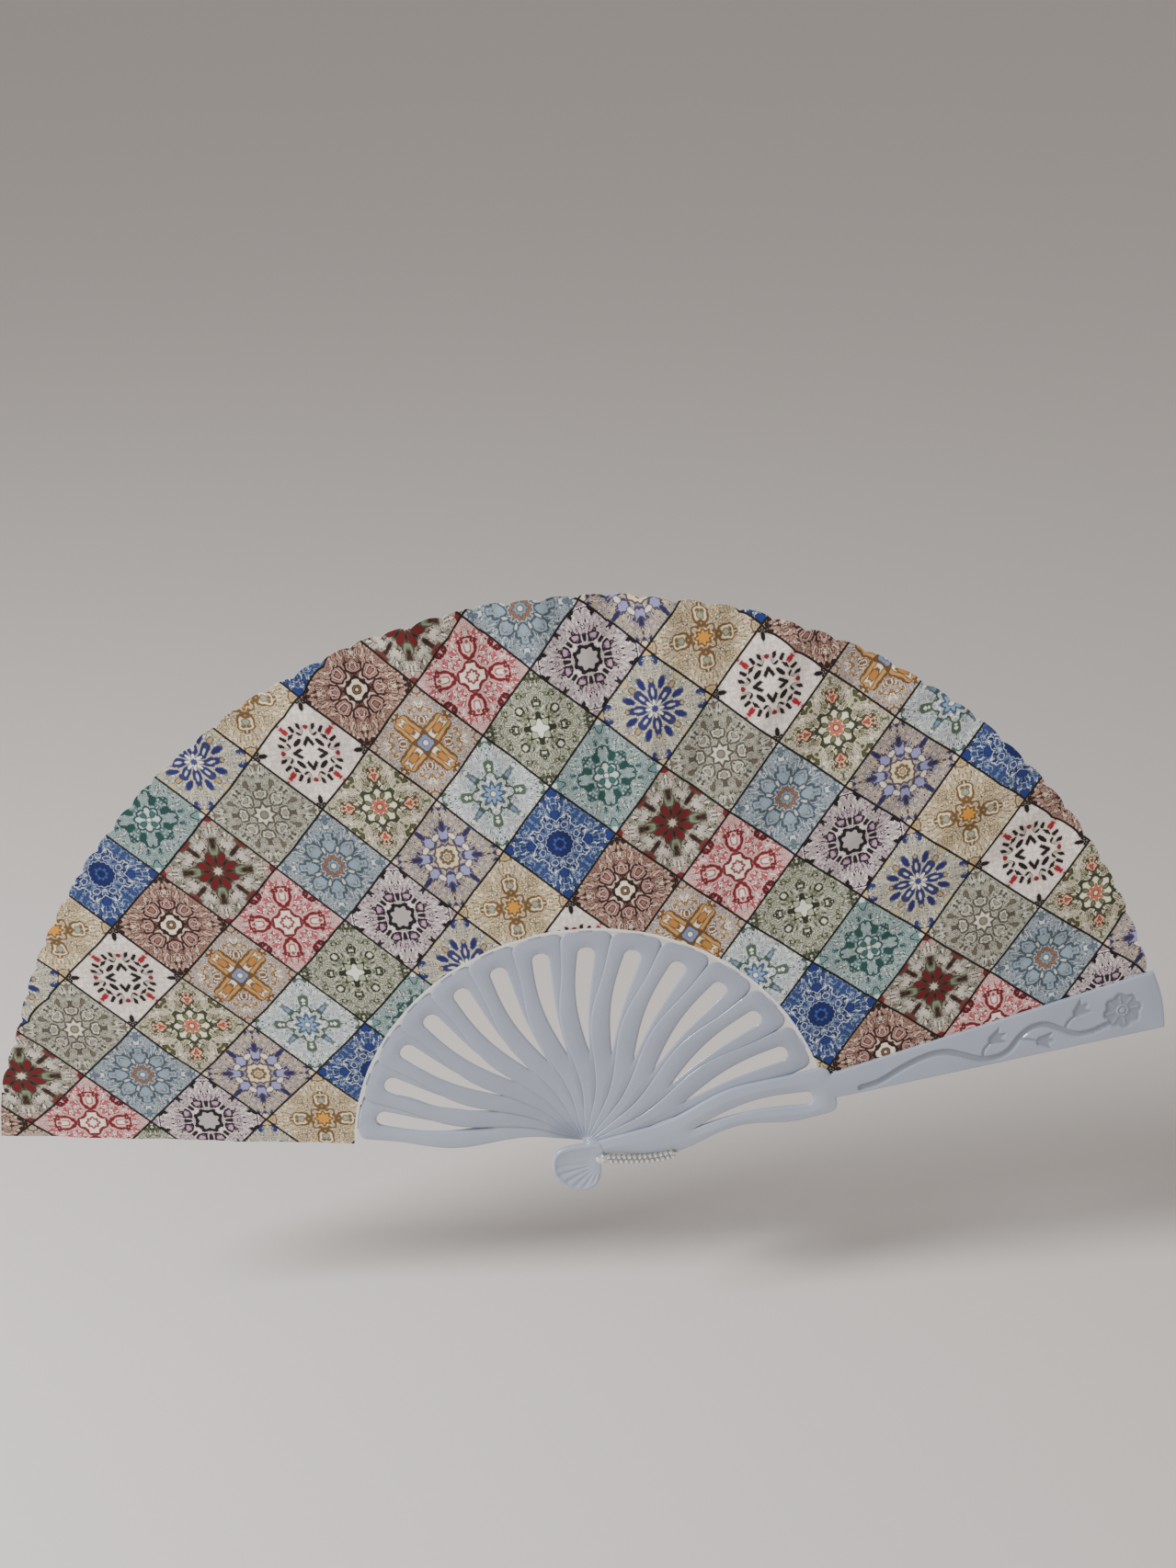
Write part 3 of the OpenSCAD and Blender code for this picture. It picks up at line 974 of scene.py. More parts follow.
def add_cup(bm, x, z, radius, y):
    """A small round cup with four claws that hold a stone."""
    place = Matrix.Translation((x, y, z)) @ Matrix.Rotation(math.pi / 2, 4, "X")
    bmesh.ops.create_cone(
        bm, cap_ends=True, segments=20, radius1=radius + 0.16, radius2=radius * 0.8,
        depth=SETTING_T * 1.2, matrix=place @ Matrix.Rotation(math.pi, 4, "X"),
    )
    reach = radius + 0.02
    for k in range(CLAWS):
        a = math.pi / 4 + k * math.pi / 2
        claw = Matrix.Translation((x + reach * math.cos(a), y - 0.42, z + reach * math.sin(a)))
        stretched = claw @ Matrix.Diagonal((1, 2.4, 1, 1))
        bmesh.ops.create_icosphere(bm, subdivisions=1, radius=CLAW_R, matrix=stretched)


print("the row ends at", [round(c, 1) for c in row_point(ROW_LEN)], "mm")

# %% Build the row
stones = bmesh.new()
cups = bmesh.new()
girdle_y = front_front - SETTING_T
spacing = (ROW_LEN - BIG_STONE_R) / STONE_COUNT
places = [(ROW_START, BIG_STONE_R - 0.1)]
for side in (1, -1):
    for k in range(STONE_COUNT):
        x, z = row_point(BIG_STONE_R + spacing * (k + 0.65 - 0.2 * side))
        places.append(((x, z + side * ROW_HALF), SMALL_STONE_R))
for (x, z), radius in places:
    add_stone(stones, x, z, radius - 0.06, girdle_y + 0.02)
    add_cup(cups, x, z, radius, girdle_y + 0.36)
print("crystal row:", len(places), "stones")

# %% The row's pointed end and its rail
RAIL_SECTION = (0.7, 3.4)
tip_x, tip_z = row_point(ROW_LEN + 0.4)
tip_place = Matrix.Translation((tip_x, girdle_y + 0.3, tip_z + 0.3)) @ Matrix.Rotation(math.pi / 2, 4, "Y")
bmesh.ops.create_cone(
    cups, cap_ends=True, segments=12, radius1=1.3, radius2=0.15, depth=3.0, matrix=tip_place
)
rail = [row_point(x) for x in np.linspace(0.5, ROW_LEN, 24)]
for (x0, z0), (x1, z1) in zip(rail, rail[1:]):
    link = bmesh.ops.create_cube(cups, size=1)["verts"]
    bmesh.ops.scale(cups, vec=(math.hypot(x1 - x0, z1 - z0) + 0.1, *RAIL_SECTION), verts=link)
    lean = Matrix.Rotation(-math.atan2(z1 - z0, x1 - x0), 3, "Y")
    bmesh.ops.rotate(cups, cent=(0, 0, 0), matrix=lean, verts=link)
    bmesh.ops.translate(cups, vec=((x0 + x1) / 2, girdle_y + 0.55, (z0 + z1) / 2), verts=link)
bmesh.ops.triangulate(stones, faces=stones.faces)
bmesh.ops.recalc_face_normals(stones, faces=stones.faces)
bmesh.ops.recalc_face_normals(cups, faces=cups.faces)
shade(cups, 35)

print("setting:", len(cups.faces), "faces")

# %% Crystal and the finished row
crystal, tree, shader = new_material("cut crystal")
# Painted glints: a fine noise lightens the stones' colour to near white in spots.
glint_noise = noise(tree, own_place(tree), 900)
painted_glints = two_tones(tree, glint_noise, (196, 206, 220), (252, 252, 250))
tree.links.new(painted_glints, shader.inputs["Base Color"])
shader.inputs["Roughness"].default_value = 0.03
shader.inputs["IOR"].default_value = 1.75
shader.inputs["Metallic"].default_value = 0.75
shader.inputs["Coat Weight"].default_value = 0.6
shader.inputs["Coat Roughness"].default_value = 0.02
finish_piece("crystal_stones", stones, "front", ["crystals"], [crystal])
finish_piece("crystal_cups", cups, "front", ["crystal_setting"], [silver])
print("stones of", crystal.name, "in", silver.name)

# %% [markdown]
# ## Numbers that vary over the cloth
# The leaf is printed with a patchwork of ornamental tiles. An image would be one way to print it,
# but these prints are kaleidoscopes, and a kaleidoscope is easy to say in nodes: fold the tile's
# coordinates so that all eight wedges read the same point, and paint there. Math nodes are tedious
# to wire by hand, so a small class wraps a socket and lets it be added, multiplied and compared.

# %% Arithmetic on sockets
class Field:
    """A number that varies over the cloth, held by a node socket."""

    def __init__(self, tree, socket):
        self.tree, self.socket = tree, socket

    def do(self, operation, *others, clamp=False):
        node = self.tree.nodes.new("ShaderNodeMath")
        node.operation = operation
        node.use_clamp = clamp
        for slot, value in enumerate((self, *others)):
            if isinstance(value, Field):
                self.tree.links.new(value.socket, node.inputs[slot])
            else:
                node.inputs[slot].default_value = value
        return Field(self.tree, node.outputs[0])

    def __add__(self, other):
        return self.do("ADD", other)

    def __sub__(self, other):
        return self.do("SUBTRACT", other)

    def __mul__(self, other):
        return self.do("MULTIPLY", other)

    def __abs__(self):
        return self.do("ABSOLUTE")

    def with_other(self, other):
        """The two numbers as one vector."""
        node = self.tree.nodes.new("ShaderNodeCombineXYZ")
        self.tree.links.new(self.socket, node.inputs[0])
        self.tree.links.new(other.socket, node.inputs[1])
        return node.outputs[0]

    def length_with(self, other):
        node = self.tree.nodes.new("ShaderNodeVectorMath")
        node.operation = "LENGTH"
        self.tree.links.new(self.with_other(other), node.inputs[0])
        return Field(self.tree, node.outputs["Value"])

    def inside(self, soft=0.012):
        """1 where a distance is negative, 0 where it is positive, with a soft edge."""
        return self.do("MULTIPLY_ADD", -1 / soft, 0.5, clamp=True)


print("fields can", ", ".join(name for name in dir(Field) if not name.startswith("_")))


# %% [markdown]
# ## The shapes that the tiles are drawn from
# Every motif is a distance that is negative inside it: a disc whose edge may have lobes, a ring of
# the same outline, petals or dots set round a centre, a cross, and a square frame that is broken in
# the middle of each side. Each can be placed at the tile's centre, its corners or the middles of
# its sides.

# %% Tile coordinates and shapes
def cloth_place(tree):
    """A point's place on the flat cloth, counted in tiles."""
    cloth_map = tree.nodes.new("ShaderNodeUVMap")
    cloth_map.uv_map = "print"
    return cloth_map.outputs["UV"]


def tile_coordinates(tree):
    """Coordinates from -0.5 to 0.5 in each tile, read from the cloth's own map."""
    split = tree.nodes.new("ShaderNodeSeparateXYZ")
    tree.links.new(cloth_place(tree), split.inputs[0])
    return [Field(tree, split.outputs[k]).do("FRACT") - 0.5 for k in (0, 1)]


def origins(x, y):
    """The tile folded into one wedge, and coordinates about its centre, a corner and a side."""
    across, up = abs(x), abs(y)
    far, near = across.do("MAXIMUM", up), across.do("MINIMUM", up)
    corner = (across * -1 + 0.5, up * -1 + 0.5)
    side = (far * -1 + 0.5, near)
    return far, near, {"centre": (x, y), "corner": corner, "side": side}


def polar(point):
    x, y = point
    return x.length_with(y), y.do("ARCTAN2", x)


def disc(point, radius, lobes=0, depth=0.0, turn=0.0):
    r, a = polar(point)
    if not lobes:
        return r - radius
    edge = (a + turn) * lobes
    return r - (edge.do("COSINE") * (radius * depth) + radius)


def ring(point, radius, width, lobes=0, depth=0.0, turn=0.0):
    return abs(disc(point, radius, lobes, depth, turn)) - width / 2


def petals(point, count, at, size, stretch=1.0, turn=0.0):
    r, a = polar(point)
    wedge = (a + turn).do("WRAP", math.pi / count, -math.pi / count)
    along = r * wedge.do("COSINE") - at
    across = r * wedge.do("SINE")
    return (along * (1 / stretch)).length_with(across) - size


def cross(point, half_width, reach):
    across, up = abs(point[0]), abs(point[1])
    narrow = across.do("MINIMUM", up) - half_width
    return narrow.do("MAXIMUM", across.do("MAXIMUM", up) - reach)


def frame_corners(point, reach, half_width, gap):
    """A square frame that is broken in the middle of each side."""
    across, up = abs(point[0]), abs(point[1])
    sides = abs(across.do("MAXIMUM", up) - reach) - half_width
    return sides.do("MAXIMUM", across.do("MINIMUM", up) * -1 + gap)


SHAPES = {"frame": frame_corners, "disc": disc, "ring": ring, "petals": petals, "cross": cross}
print("shapes:", ", ".join(SHAPES))

# %% [markdown]
# ## Painting one tile
# The ground of a tile is noise that is read at the folded coordinates, so that it repeats eight
# times round the centre. A colour ramp with hard steps turns it into patches of colour, and a thin
# dark step between two patches becomes their drawn outline. Voronoi cells at the same folded
# coordinates add a finer lace. The motifs are then laid over it one by one, as a printer would, each
# with a thin outline, and a black line is left between the tiles. A slow folded noise stretches the
# coordinates a little first, so that no circle is quite a circle: the tiles look painted by hand.
# Real cloth is matt, with a weave that shows only up close.

# %% Layers of print and the weave
PATCH_FROM = 0.36
PATCH_STEP = 0.062
PATCH_LINE = 0.019
THREADS_PER_TILE = 95


def lay_colour(tree, under, colour, mask):
    """Prints one colour over what is there, where the mask is 1."""
    blend = tree.nodes.new("ShaderNodeMix")
    blend.data_type = "RGBA"
    tree.links.new(mask.socket, blend.inputs["Factor"])
    tree.links.new(under, blend.inputs["A"])
    blend.inputs["B"].default_value = srgb(*colour)
    return blend.outputs["Result"]


def patchwork_ramp(tree, value, patches, line):
    """Patches of flat colour with a thin outline between each two of them."""
    ramp = tree.nodes.new("ShaderNodeValToRGB")
    ramp.color_ramp.interpolation = "CONSTANT"
    stops = [(0.0, patches[0])]
    for k, colour in enumerate(patches[1:] + patches[:2]):
        edge = PATCH_FROM + PATCH_STEP * k
        stops += [(edge, line), (edge + PATCH_LINE, colour)]
    for k, (position, colour) in enumerate(stops):
        element = ramp.color_ramp.elements[k] if k < 2 else ramp.color_ramp.elements.new(position)
        element.position = position
        element.color = srgb(*colour)
    tree.links.new(value, ramp.inputs["Fac"])
    return ramp.outputs["Color"]


def weave_bump(tree, shader, x, y):
    """Warp and weft as two fine crossing waves."""
    threads = THREADS_PER_TILE * 2 * math.pi
    weave = (x * threads).do("SINE") * (y * threads).do("SINE")
    add_bump(tree, shader, weave.socket, 0.25, 0.00008)


def cloth_finish(tree, shader, colour, x, y):
    """Matt cloth of one colour field, with its weave and a little sheen."""
    tree.links.new(colour, shader.inputs["Base Color"])
    weave_bump(tree, shader, x, y)
    shader.inputs["Roughness"].default_value = 0.82
    shader.inputs["Specular IOR Level"].default_value = 0.25
    shader.inputs["Sheen Weight"].default_value = 0.08
    shader.inputs["Sheen Roughness"].default_value = 0.5


print("threads each way in a tile:", THREADS_PER_TILE)

# %% Tile material
OUTLINE = 0.009
INSET = 0.004
BLACK = (22, 20, 20)
BORDER_AT = 0.486


def printed_tile(name, seed, scale, patches, line, motifs):
    """One design: patches of four colours, drawn lines, a lace and the motifs, in print order."""
    material, tree, shader = new_material("print " + name)
    x, y = tile_coordinates(tree)
    edge, near, _ = origins(x, y)
    hand = noise(tree, (edge + seed * 2).with_other(near), 13)
    wobble = Field(tree, hand) * 0.62 + 0.69
    far, near, places = origins(x * wobble, y * wobble)
    ground_at = (far + seed).with_other(near + seed / 2)
    ground = noise(tree, ground_at, scale, Detail=1.4, Distortion=0.9)
    colour = patchwork_ramp(tree, ground, patches, line)
    lace = tree.nodes.new("ShaderNodeTexVoronoi")
    lace.feature = "DISTANCE_TO_EDGE"
    lace.inputs["Scale"].default_value = 1.7 * scale
    tree.links.new((far + seed).with_other(near), lace.inputs["Vector"])
    threads = (Field(tree, lace.outputs["Distance"]) - 0.035).inside(0.03) * 0.3
    colour = lay_colour(tree, colour, line, threads)
    for where, shape, sizes, tint in motifs:
        distance = SHAPES[shape](places[where], *sizes)
        colour = lay_colour(tree, colour, line, (distance - OUTLINE).inside())
        colour = lay_colour(tree, colour, tint, (distance + INSET).inside())
    border = (edge * -1 + BORDER_AT).inside(0.01)
    cloth_finish(tree, shader, lay_colour(tree, colour, BLACK, border), x, y)
    return material


print("the black line takes", round(100 * (1 - 2 * BORDER_AT), 1), "% of a tile's side")

# %% [markdown]
# ## The sixteen designs
# The patchwork repeats after four tiles each way, so there are sixteen designs. Each is a ground of
# four colours, an outline colour and a few motifs. They are drawn from circles, petals, crosses and
# frames alone, which is all that such majolica patterns need. A motif says where it stands, its
# shape, the shape's sizes in shares of a tile, and its colour.

# %% Designs
EIGHTH = math.pi / 8
QUARTER = math.pi / 4
DESIGNS = [
    printed_tile(
        "rose", 3.1, 7,
        [(220, 170, 168), (238, 212, 204), (192, 92, 100), (244, 228, 218)], (104, 34, 40),
        [
            ("centre", "petals", (4, 0.34, 0.105, 1.25, QUARTER), (122, 26, 38)),
            ("centre", "petals", (4, 0.34, 0.08, 1.25, QUARTER), (240, 188, 178)),
            ("centre", "petals", (4, 0.34, 0.035, 1.5, QUARTER), (246, 226, 216)),
            ("centre", "disc", (0.165, 4, 0.16, QUARTER), (128, 28, 38)),
            ("centre", "disc", (0.14, 4, 0.16, QUARTER), (246, 230, 214)),
            ("centre", "ring", (0.065, 0.018, 8, 0.15), (176, 84, 92)),
            ("side", "disc", (0.095,), (84, 22, 30)),
            ("side", "disc", (0.045, 4, 0.3), (220, 150, 152)),
        ],
    ),
    printed_tile(
        "sage", 8.4, 8,
        [(154, 160, 136), (196, 198, 178), (118, 124, 98), (222, 220, 204)], (46, 50, 34),
        [
            ("centre", "petals", (8, 0.3, 0.05, 1.0, 0.0), (52, 56, 38)),
            ("centre", "petals", (8, 0.3, 0.035, 1.0, 0.0), (214, 214, 196)),
            ("centre", "disc", (0.155, 8, 0.22), (42, 48, 32)),
            ("centre", "disc", (0.12, 4, 0.3), (168, 176, 144)),
            ("centre", "disc", (0.085, 4, 0.25, QUARTER), (238, 238, 226)),
            ("corner", "disc", (0.13, 8, 0.1), (70, 74, 52)),
            ("corner", "disc", (0.095,), (206, 204, 186)),
            ("corner", "disc", (0.045,), (92, 96, 70)),
        ],
    ),
    printed_tile(
        "teal", 14.2, 9,
        [(140, 162, 162), (178, 196, 192), (92, 124, 124), (212, 220, 214)], (40, 68, 68),
        [
            ("centre", "ring", (0.31, 0.026, 8, 0.07), (44, 78, 76)),
            ("centre", "petals", (8, 0.25, 0.034, 1.4, EIGHTH), (34, 74, 68)),
            ("centre", "disc", (0.15, 8, 0.16), (196, 210, 206)),
            ("centre", "ring", (0.15, 0.016, 8, 0.16), (52, 86, 84)),
            ("centre", "petals", (4, 0.085, 0.03, 1.2, 0.0), (60, 104, 100)),
            ("centre", "disc", (0.03,), (226, 230, 222)),
            ("corner", "disc", (0.15, 8, 0.08), (112, 144, 142)),
            ("corner", "ring", (0.15, 0.015, 8, 0.08), (44, 70, 70)),
            ("corner", "disc", (0.05,), (214, 220, 214)),
            ("centre", "petals", (8, 0.41, 0.02, 1.0, EIGHTH), (232, 234, 226)),
        ],
    ),
    printed_tile(
        "red star", 21.7, 8,
        [(160, 160, 146), (202, 196, 182), (128, 128, 112), (220, 212, 198)], (66, 48, 40),
        [
            ("centre", "petals", (4, 0.3, 0.06, 1.7, QUARTER), (120, 132, 106)),
            ("centre", "petals", (8, 0.335, 0.026, 2.2, 0.0), (48, 26, 24)),
            ("centre", "petals", (8, 0.17, 0.042, 2.3, EIGHTH), (104, 24, 26)),
            ("centre", "petals", (8, 0.14, 0.016, 2.6, 0.0), (34, 22, 20)),
            ("centre", "disc", (0.05, 8, 0.2), (206, 190, 166)),
            ("corner", "disc", (0.12, 4, 0.2), (186, 148, 138)),
            ("corner", "disc", (0.06,), (110, 34, 34)),
            ("side", "petals", (4, 0.06, 0.03, 1.3, 0.0), (122, 40, 38)),
        ],
    ),
    printed_tile(
        "ochre cross", 27.3, 7,
        [(170, 164, 170), (206, 198, 190), (166, 128, 80), (232, 222, 206)], (94, 66, 36),
        [
            ("centre", "cross", (0.115, 0.43), (126, 84, 40)),
            ("centre", "cross", (0.095, 0.41), (188, 142, 84)),
            ("centre", "cross", (0.05, 0.36), (238, 228, 208)),
            ("centre", "petals", (4, 0.25, 0.045, 1.6, 0.0), (176, 120, 60)),
            ("centre", "disc", (0.12, 4, 0.12, QUARTER), (96, 74, 52)),
            ("centre", "disc", (0.095, 4, 0.12, QUARTER), (116, 134, 172)),
            ("centre", "disc", (0.035,), (236, 230, 214)),
            ("centre", "petals", (4, 0.27, 0.045, 1.0, QUARTER), (240, 236, 226)),
            ("centre", "petals", (4, 0.27, 0.02, 1.0, QUARTER), (150, 104, 56)),
            ("corner", "ring", (0.1, 0.022), (138, 96, 50)),
        ],
    ),
    printed_tile(
        "pastel", 33.9, 9,
        [(208, 216, 222), (230, 234, 232), (176, 194, 210), (240, 238, 230)], (60, 80, 66),
        [
            ("centre", "ring", (0.24, 0.018, 8, 0.2), (44, 66, 52)),
            ("centre", "petals", (4, 0.33, 0.055, 1.3, QUARTER), (92, 116, 98)),
            ("centre", "petals", (4, 0.33, 0.032, 1.3, QUARTER), (236, 236, 226)),
            ("centre", "petals", (4, 0.3, 0.03, 1.8, 0.0), (120, 144, 176)),
            ("centre", "disc", (0.125, 8, 0.3), (72, 92, 128)),
            ("centre", "disc", (0.095, 8, 0.3), (128, 156, 200)),
            ("centre", "disc", (0.035,), (240, 236, 220)),
            ("corner", "disc", (0.09, 4, 0.35), (70, 92, 76)),
            ("corner", "disc", (0.05,), (214, 222, 226)),
        ],
    ),
    printed_tile(
        "royal blue", 39.5, 8,
        [(82, 104, 150), (52, 70, 118), (198, 208, 218), (120, 142, 178)], (26, 36, 76),
        [
            ("centre", "ring", (0.32, 0.024, 8, 0.12, EIGHTH), (220, 226, 236)),
            ("centre", "petals", (8, 0.25, 0.05, 1.0, EIGHTH), (226, 232, 240)),
            ("centre", "petals", (8, 0.25, 0.03, 1.0, EIGHTH), (50, 70, 128)),
            ("centre", "petals", (4, 0.36, 0.05, 1.3, QUARTER), (36, 52, 116)),
            ("centre", "disc", (0.175, 16, 0.05), (198, 210, 230)),
            ("centre", "disc", (0.155, 16, 0.05), (22, 34, 88)),
            ("centre", "disc", (0.08, 8, 0.15), (54, 80, 150)),
            ("centre", "disc", (0.045,), (20, 30, 76)),
            ("corner", "disc", (0.15, 4, 0.15), (226, 230, 236)),
            ("corner", "disc", (0.125, 4, 0.15), (34, 52, 116)),
        ],
    ),
    printed_tile(
        "mauve rosette", 46.1, 7,
        [(182, 146, 132), (154, 114, 100), (212, 190, 172), (124, 86, 74)], (52, 30, 24),
        [
            ("centre", "petals", (8, 0.28, 0.1, 1.0, 0.0), (64, 38, 32)),
            ("centre", "petals", (8, 0.28, 0.085, 1.0, 0.0), (188, 138, 134)),
            ("centre", "petals", (8, 0.28, 0.055, 1.0, 0.0), (226, 204, 184)),
            ("centre", "petals", (8, 0.28, 0.03, 1.0, 0.0), (148, 100, 92)),
            ("centre", "disc", (0.15, 4, 0.1, QUARTER), (44, 28, 24)),
            ("centre", "disc", (0.112, 4, 0.12, QUARTER), (236, 226, 204)),
            ("centre", "disc", (0.05,), (124, 96, 66)),
            ("centre", "disc", (0.022,), (240, 232, 214)),
            ("corner", "disc", (0.12,), (40, 24, 22)),
            ("corner", "disc", (0.07, 4, 0.2), (186, 158, 124)),
        ],
    ),
    printed_tile(
        "peach", 52.8, 8,
        [(216, 204, 182), (190, 178, 152), (124, 132, 100), (234, 224, 204)], (60, 58, 38),
        [
            ("centre", "petals", (4, 0.37, 0.085, 1.0, QUARTER), (116, 74, 54)),
            ("centre", "petals", (4, 0.37, 0.07, 1.0, QUARTER), (232, 172, 142)),
            ("centre", "petals", (4, 0.37, 0.028, 1.0, QUARTER), (186, 84, 66)),
            ("centre", "disc", (0.245, 8, 0.11), (54, 66, 40)),
            ("centre", "disc", (0.195, 8, 0.11), (238, 228, 206)),
            ("centre", "petals", (8, 0.14, 0.022, 1.6, EIGHTH), (110, 120, 84)),
            ("centre", "disc", (0.085, 8, 0.35), (206, 104, 82)),
            ("centre", "disc", (0.03,), (244, 222, 190)),
            ("side", "disc", (0.075, 6, 0.2), (74, 88, 54)),
            ("side", "disc", (0.035,), (228, 186, 152)),
        ],
    ),
    printed_tile(
        "lavender", 58.6, 7,
        [(200, 184, 160), (174, 160, 142), (150, 150, 182), (222, 210, 188)], (66, 58, 76),
        [
            ("centre", "petals", (8, 0.27, 0.085, 1.0, 0.0), (80, 78, 116)),
            ("centre", "petals", (8, 0.27, 0.07, 1.0, 0.0), (150, 150, 196)),
            ("centre", "petals", (8, 0.27, 0.05, 1.0, EIGHTH), (236, 226, 202)),
            ("centre", "petals", (8, 0.4, 0.026, 2.0, 0.0), (38, 38, 88)),
            ("centre", "disc", (0.16, 12, 0.08), (120, 96, 62)),
            ("centre", "disc", (0.14, 12, 0.08), (232, 214, 166)),
            ("centre", "ring", (0.075, 0.016, 8, 0.1), (150, 118, 70)),
            ("centre", "disc", (0.03,), (206, 176, 116)),
            ("corner", "disc", (0.11, 4, 0.2), (48, 46, 88)),
            ("corner", "disc", (0.07,), (222, 204, 170)),
        ],
    ),
    printed_tile(
        "gold", 65.2, 6,
        [(224, 208, 176), (208, 190, 152), (238, 226, 200), (190, 176, 144)], (106, 80, 48),
        [
            ("centre", "petals", (4, 0.28, 0.1, 1.3, QUARTER), (116, 84, 44)),
            ("centre", "petals", (4, 0.28, 0.085, 1.3, QUARTER), (240, 226, 190)),
            ("centre", "petals", (4, 0.28, 0.045, 1.4, QUARTER), (152, 162, 142)),
            ("centre", "ring", (0.17, 0.016, 8, 0.14), (126, 90, 48)),
            ("centre", "disc", (0.1, 8, 0.2), (132, 84, 34)),
            ("centre", "disc", (0.08, 8, 0.2), (214, 148, 58)),
            ("centre", "petals", (4, 0.38, 0.04, 1.2, 0.0), (172, 166, 132)),
            ("corner", "ring", (0.12, 0.018), (128, 94, 52)),
            ("corner", "disc", (0.05,), (206, 162, 92)),
        ],
    ),
    printed_tile(
        "black dashes", 71.4, 5,
        [(228, 216, 206), (236, 226, 216), (218, 204, 196), (242, 234, 226)], (206, 192, 184),
        [
            ("centre", "frame", (0.12, 0.026, 0.03), (26, 20, 20)),
            ("centre", "petals", (4, 0.19, 0.07, 0.42, 0.0), (26, 20, 20)),
            ("centre", "frame", (0.25, 0.026, 0.08), (26, 20, 20)),
            ("centre", "petals", (4, 0.3, 0.07, 0.4, 0.0), (34, 24, 24)),
            ("centre", "petals", (8, 0.35, 0.03, 1.6, 0.26), (26, 20, 20)),
            ("centre", "petals", (8, 0.35, 0.03, 1.6, -0.26), (26, 20, 20)),
            ("centre", "petals", (4, 0.4, 0.04, 1.5, 0.0), (146, 30, 38)),
            ("centre", "petals", (4, 0.32, 0.035, 1.4, QUARTER), (122, 34, 40)),
            ("corner", "petals", (4, 0.1, 0.035, 2.4, QUARTER), (24, 18, 20)),
            ("corner", "disc", (0.06, 4, 0.5), (24, 18, 20)),
        ],
    ),
    printed_tile(
        "slate blue", 77.9, 8,
        [(146, 160, 170), (182, 192, 198), (116, 132, 146), (212, 214, 210)], (66, 78, 88),
        [
            ("centre", "petals", (8, 0.29, 0.1, 1.15, 0.0), (78, 92, 104)),
            ("centre", "petals", (8, 0.29, 0.085, 1.15, 0.0), (138, 158, 172)),
            ("centre", "ring", (0.29, 0.016, 8, 0.14), (224, 220, 208)),
            ("centre", "petals", (8, 0.22, 0.02, 1.8, EIGHTH), (206, 206, 196)),
            ("centre", "disc", (0.125, 12, 0.14), (150, 98, 66)),
            ("centre", "disc", (0.085, 8, 0.1), (120, 138, 150)),
            ("centre", "disc", (0.035,), (226, 222, 206)),
            ("corner", "disc", (0.14, 8, 0.18), (98, 114, 126)),
            ("corner", "disc", (0.08, 4, 0.2), (190, 198, 200)),
        ],
    ),
    printed_tile(
        "black medallion", 84.3, 8,
        [(226, 214, 212), (238, 230, 226), (196, 168, 182), (212, 200, 200)], (40, 32, 38),
        [
            ("centre", "petals", (8, 0.285, 0.062, 1.0, EIGHTH), (34, 26, 32)),
            ("centre", "petals", (8, 0.285, 0.045, 1.0, EIGHTH), (184, 150, 172)),
            ("centre", "petals", (8, 0.26, 0.018, 1.8, 0.0), (30, 24, 28)),
            ("centre", "disc", (0.165, 8, 0.07, EIGHTH), (28, 22, 26)),
            ("centre", "disc", (0.12, 8, 0.06, EIGHTH), (178, 172, 170)),
            ("corner", "disc", (0.18, 4, 0.28), (26, 20, 24)),
            ("corner", "disc", (0.125, 4, 0.2), (232, 222, 220)),
            ("corner", "disc", (0.055,), (178, 142, 164)),
            ("side", "disc", (0.06, 4, 0.3), (38, 30, 36)),
        ],
    ),
    printed_tile(
        "navy star", 90.6, 8,
        [(222, 214, 188), (198, 192, 166), (236, 228, 206), (164, 166, 148)], (64, 64, 88),
        [
            ("centre", "petals", (8, 0.33, 0.034, 1.9, EIGHTH), (34, 38, 104)),
            ("centre", "petals", (8, 0.33, 0.03, 1.2, 0.0), (176, 152, 104)),
            ("centre", "petals", (8, 0.19, 0.05, 2.0, 0.0), (36, 42, 112)),
            ("centre", "petals", (8, 0.2, 0.02, 2.0, 0.0), (214, 212, 204)),
            ("centre", "disc", (0.09, 8, 0.4), (236, 234, 224)),
            ("centre", "disc", (0.035, 8, 0.2), (60, 66, 124)),
            ("corner", "disc", (0.14, 4, 0.3), (42, 48, 112)),
            ("corner", "disc", (0.09,), (204, 178, 128)),
            ("side", "disc", (0.065, 4, 0.25), (190, 176, 136)),
        ],
    ),
    printed_tile(
        "grey lace", 97.1, 9,
        [(194, 194, 180), (164, 166, 150), (212, 210, 198), (140, 138, 120)], (78, 72, 60),
        [
            ("centre", "petals", (8, 0.26, 0.085, 1.0, 0.0), (88, 82, 68)),
            ("centre", "petals", (8, 0.26, 0.072, 1.0, 0.0), (206, 204, 190)),
            ("centre", "petals", (8, 0.26, 0.04, 1.0, 0.0), (150, 150, 132)),
            ("centre", "disc", (0.13, 8, 0.16), (96, 90, 74)),
            ("centre", "disc", (0.105, 8, 0.16), (214, 212, 198)),
            ("centre", "disc", (0.045,), (134, 128, 108)),
            ("centre", "petals", (8, 0.41, 0.028, 1.3, EIGHTH), (104, 96, 80)),
            ("corner", "disc", (0.12,), (110, 102, 86)),
            ("corner", "disc", (0.085,), (208, 204, 188)),
            ("corner", "disc", (0.04,), (120, 110, 92)),
        ],
    ),
]
print("designs:", len(DESIGNS))

# %% [markdown]
# ## Plain cloth and the leaf's reverse
# Along its inner edge the leaf has a narrow unprinted border. Ink soaks into thin cloth, so the back
# shows a pale ghost of the front: the lines between the tiles, and a faint tint that changes from
# tile to tile. White noise that is read once per tile gives each one its own tint.

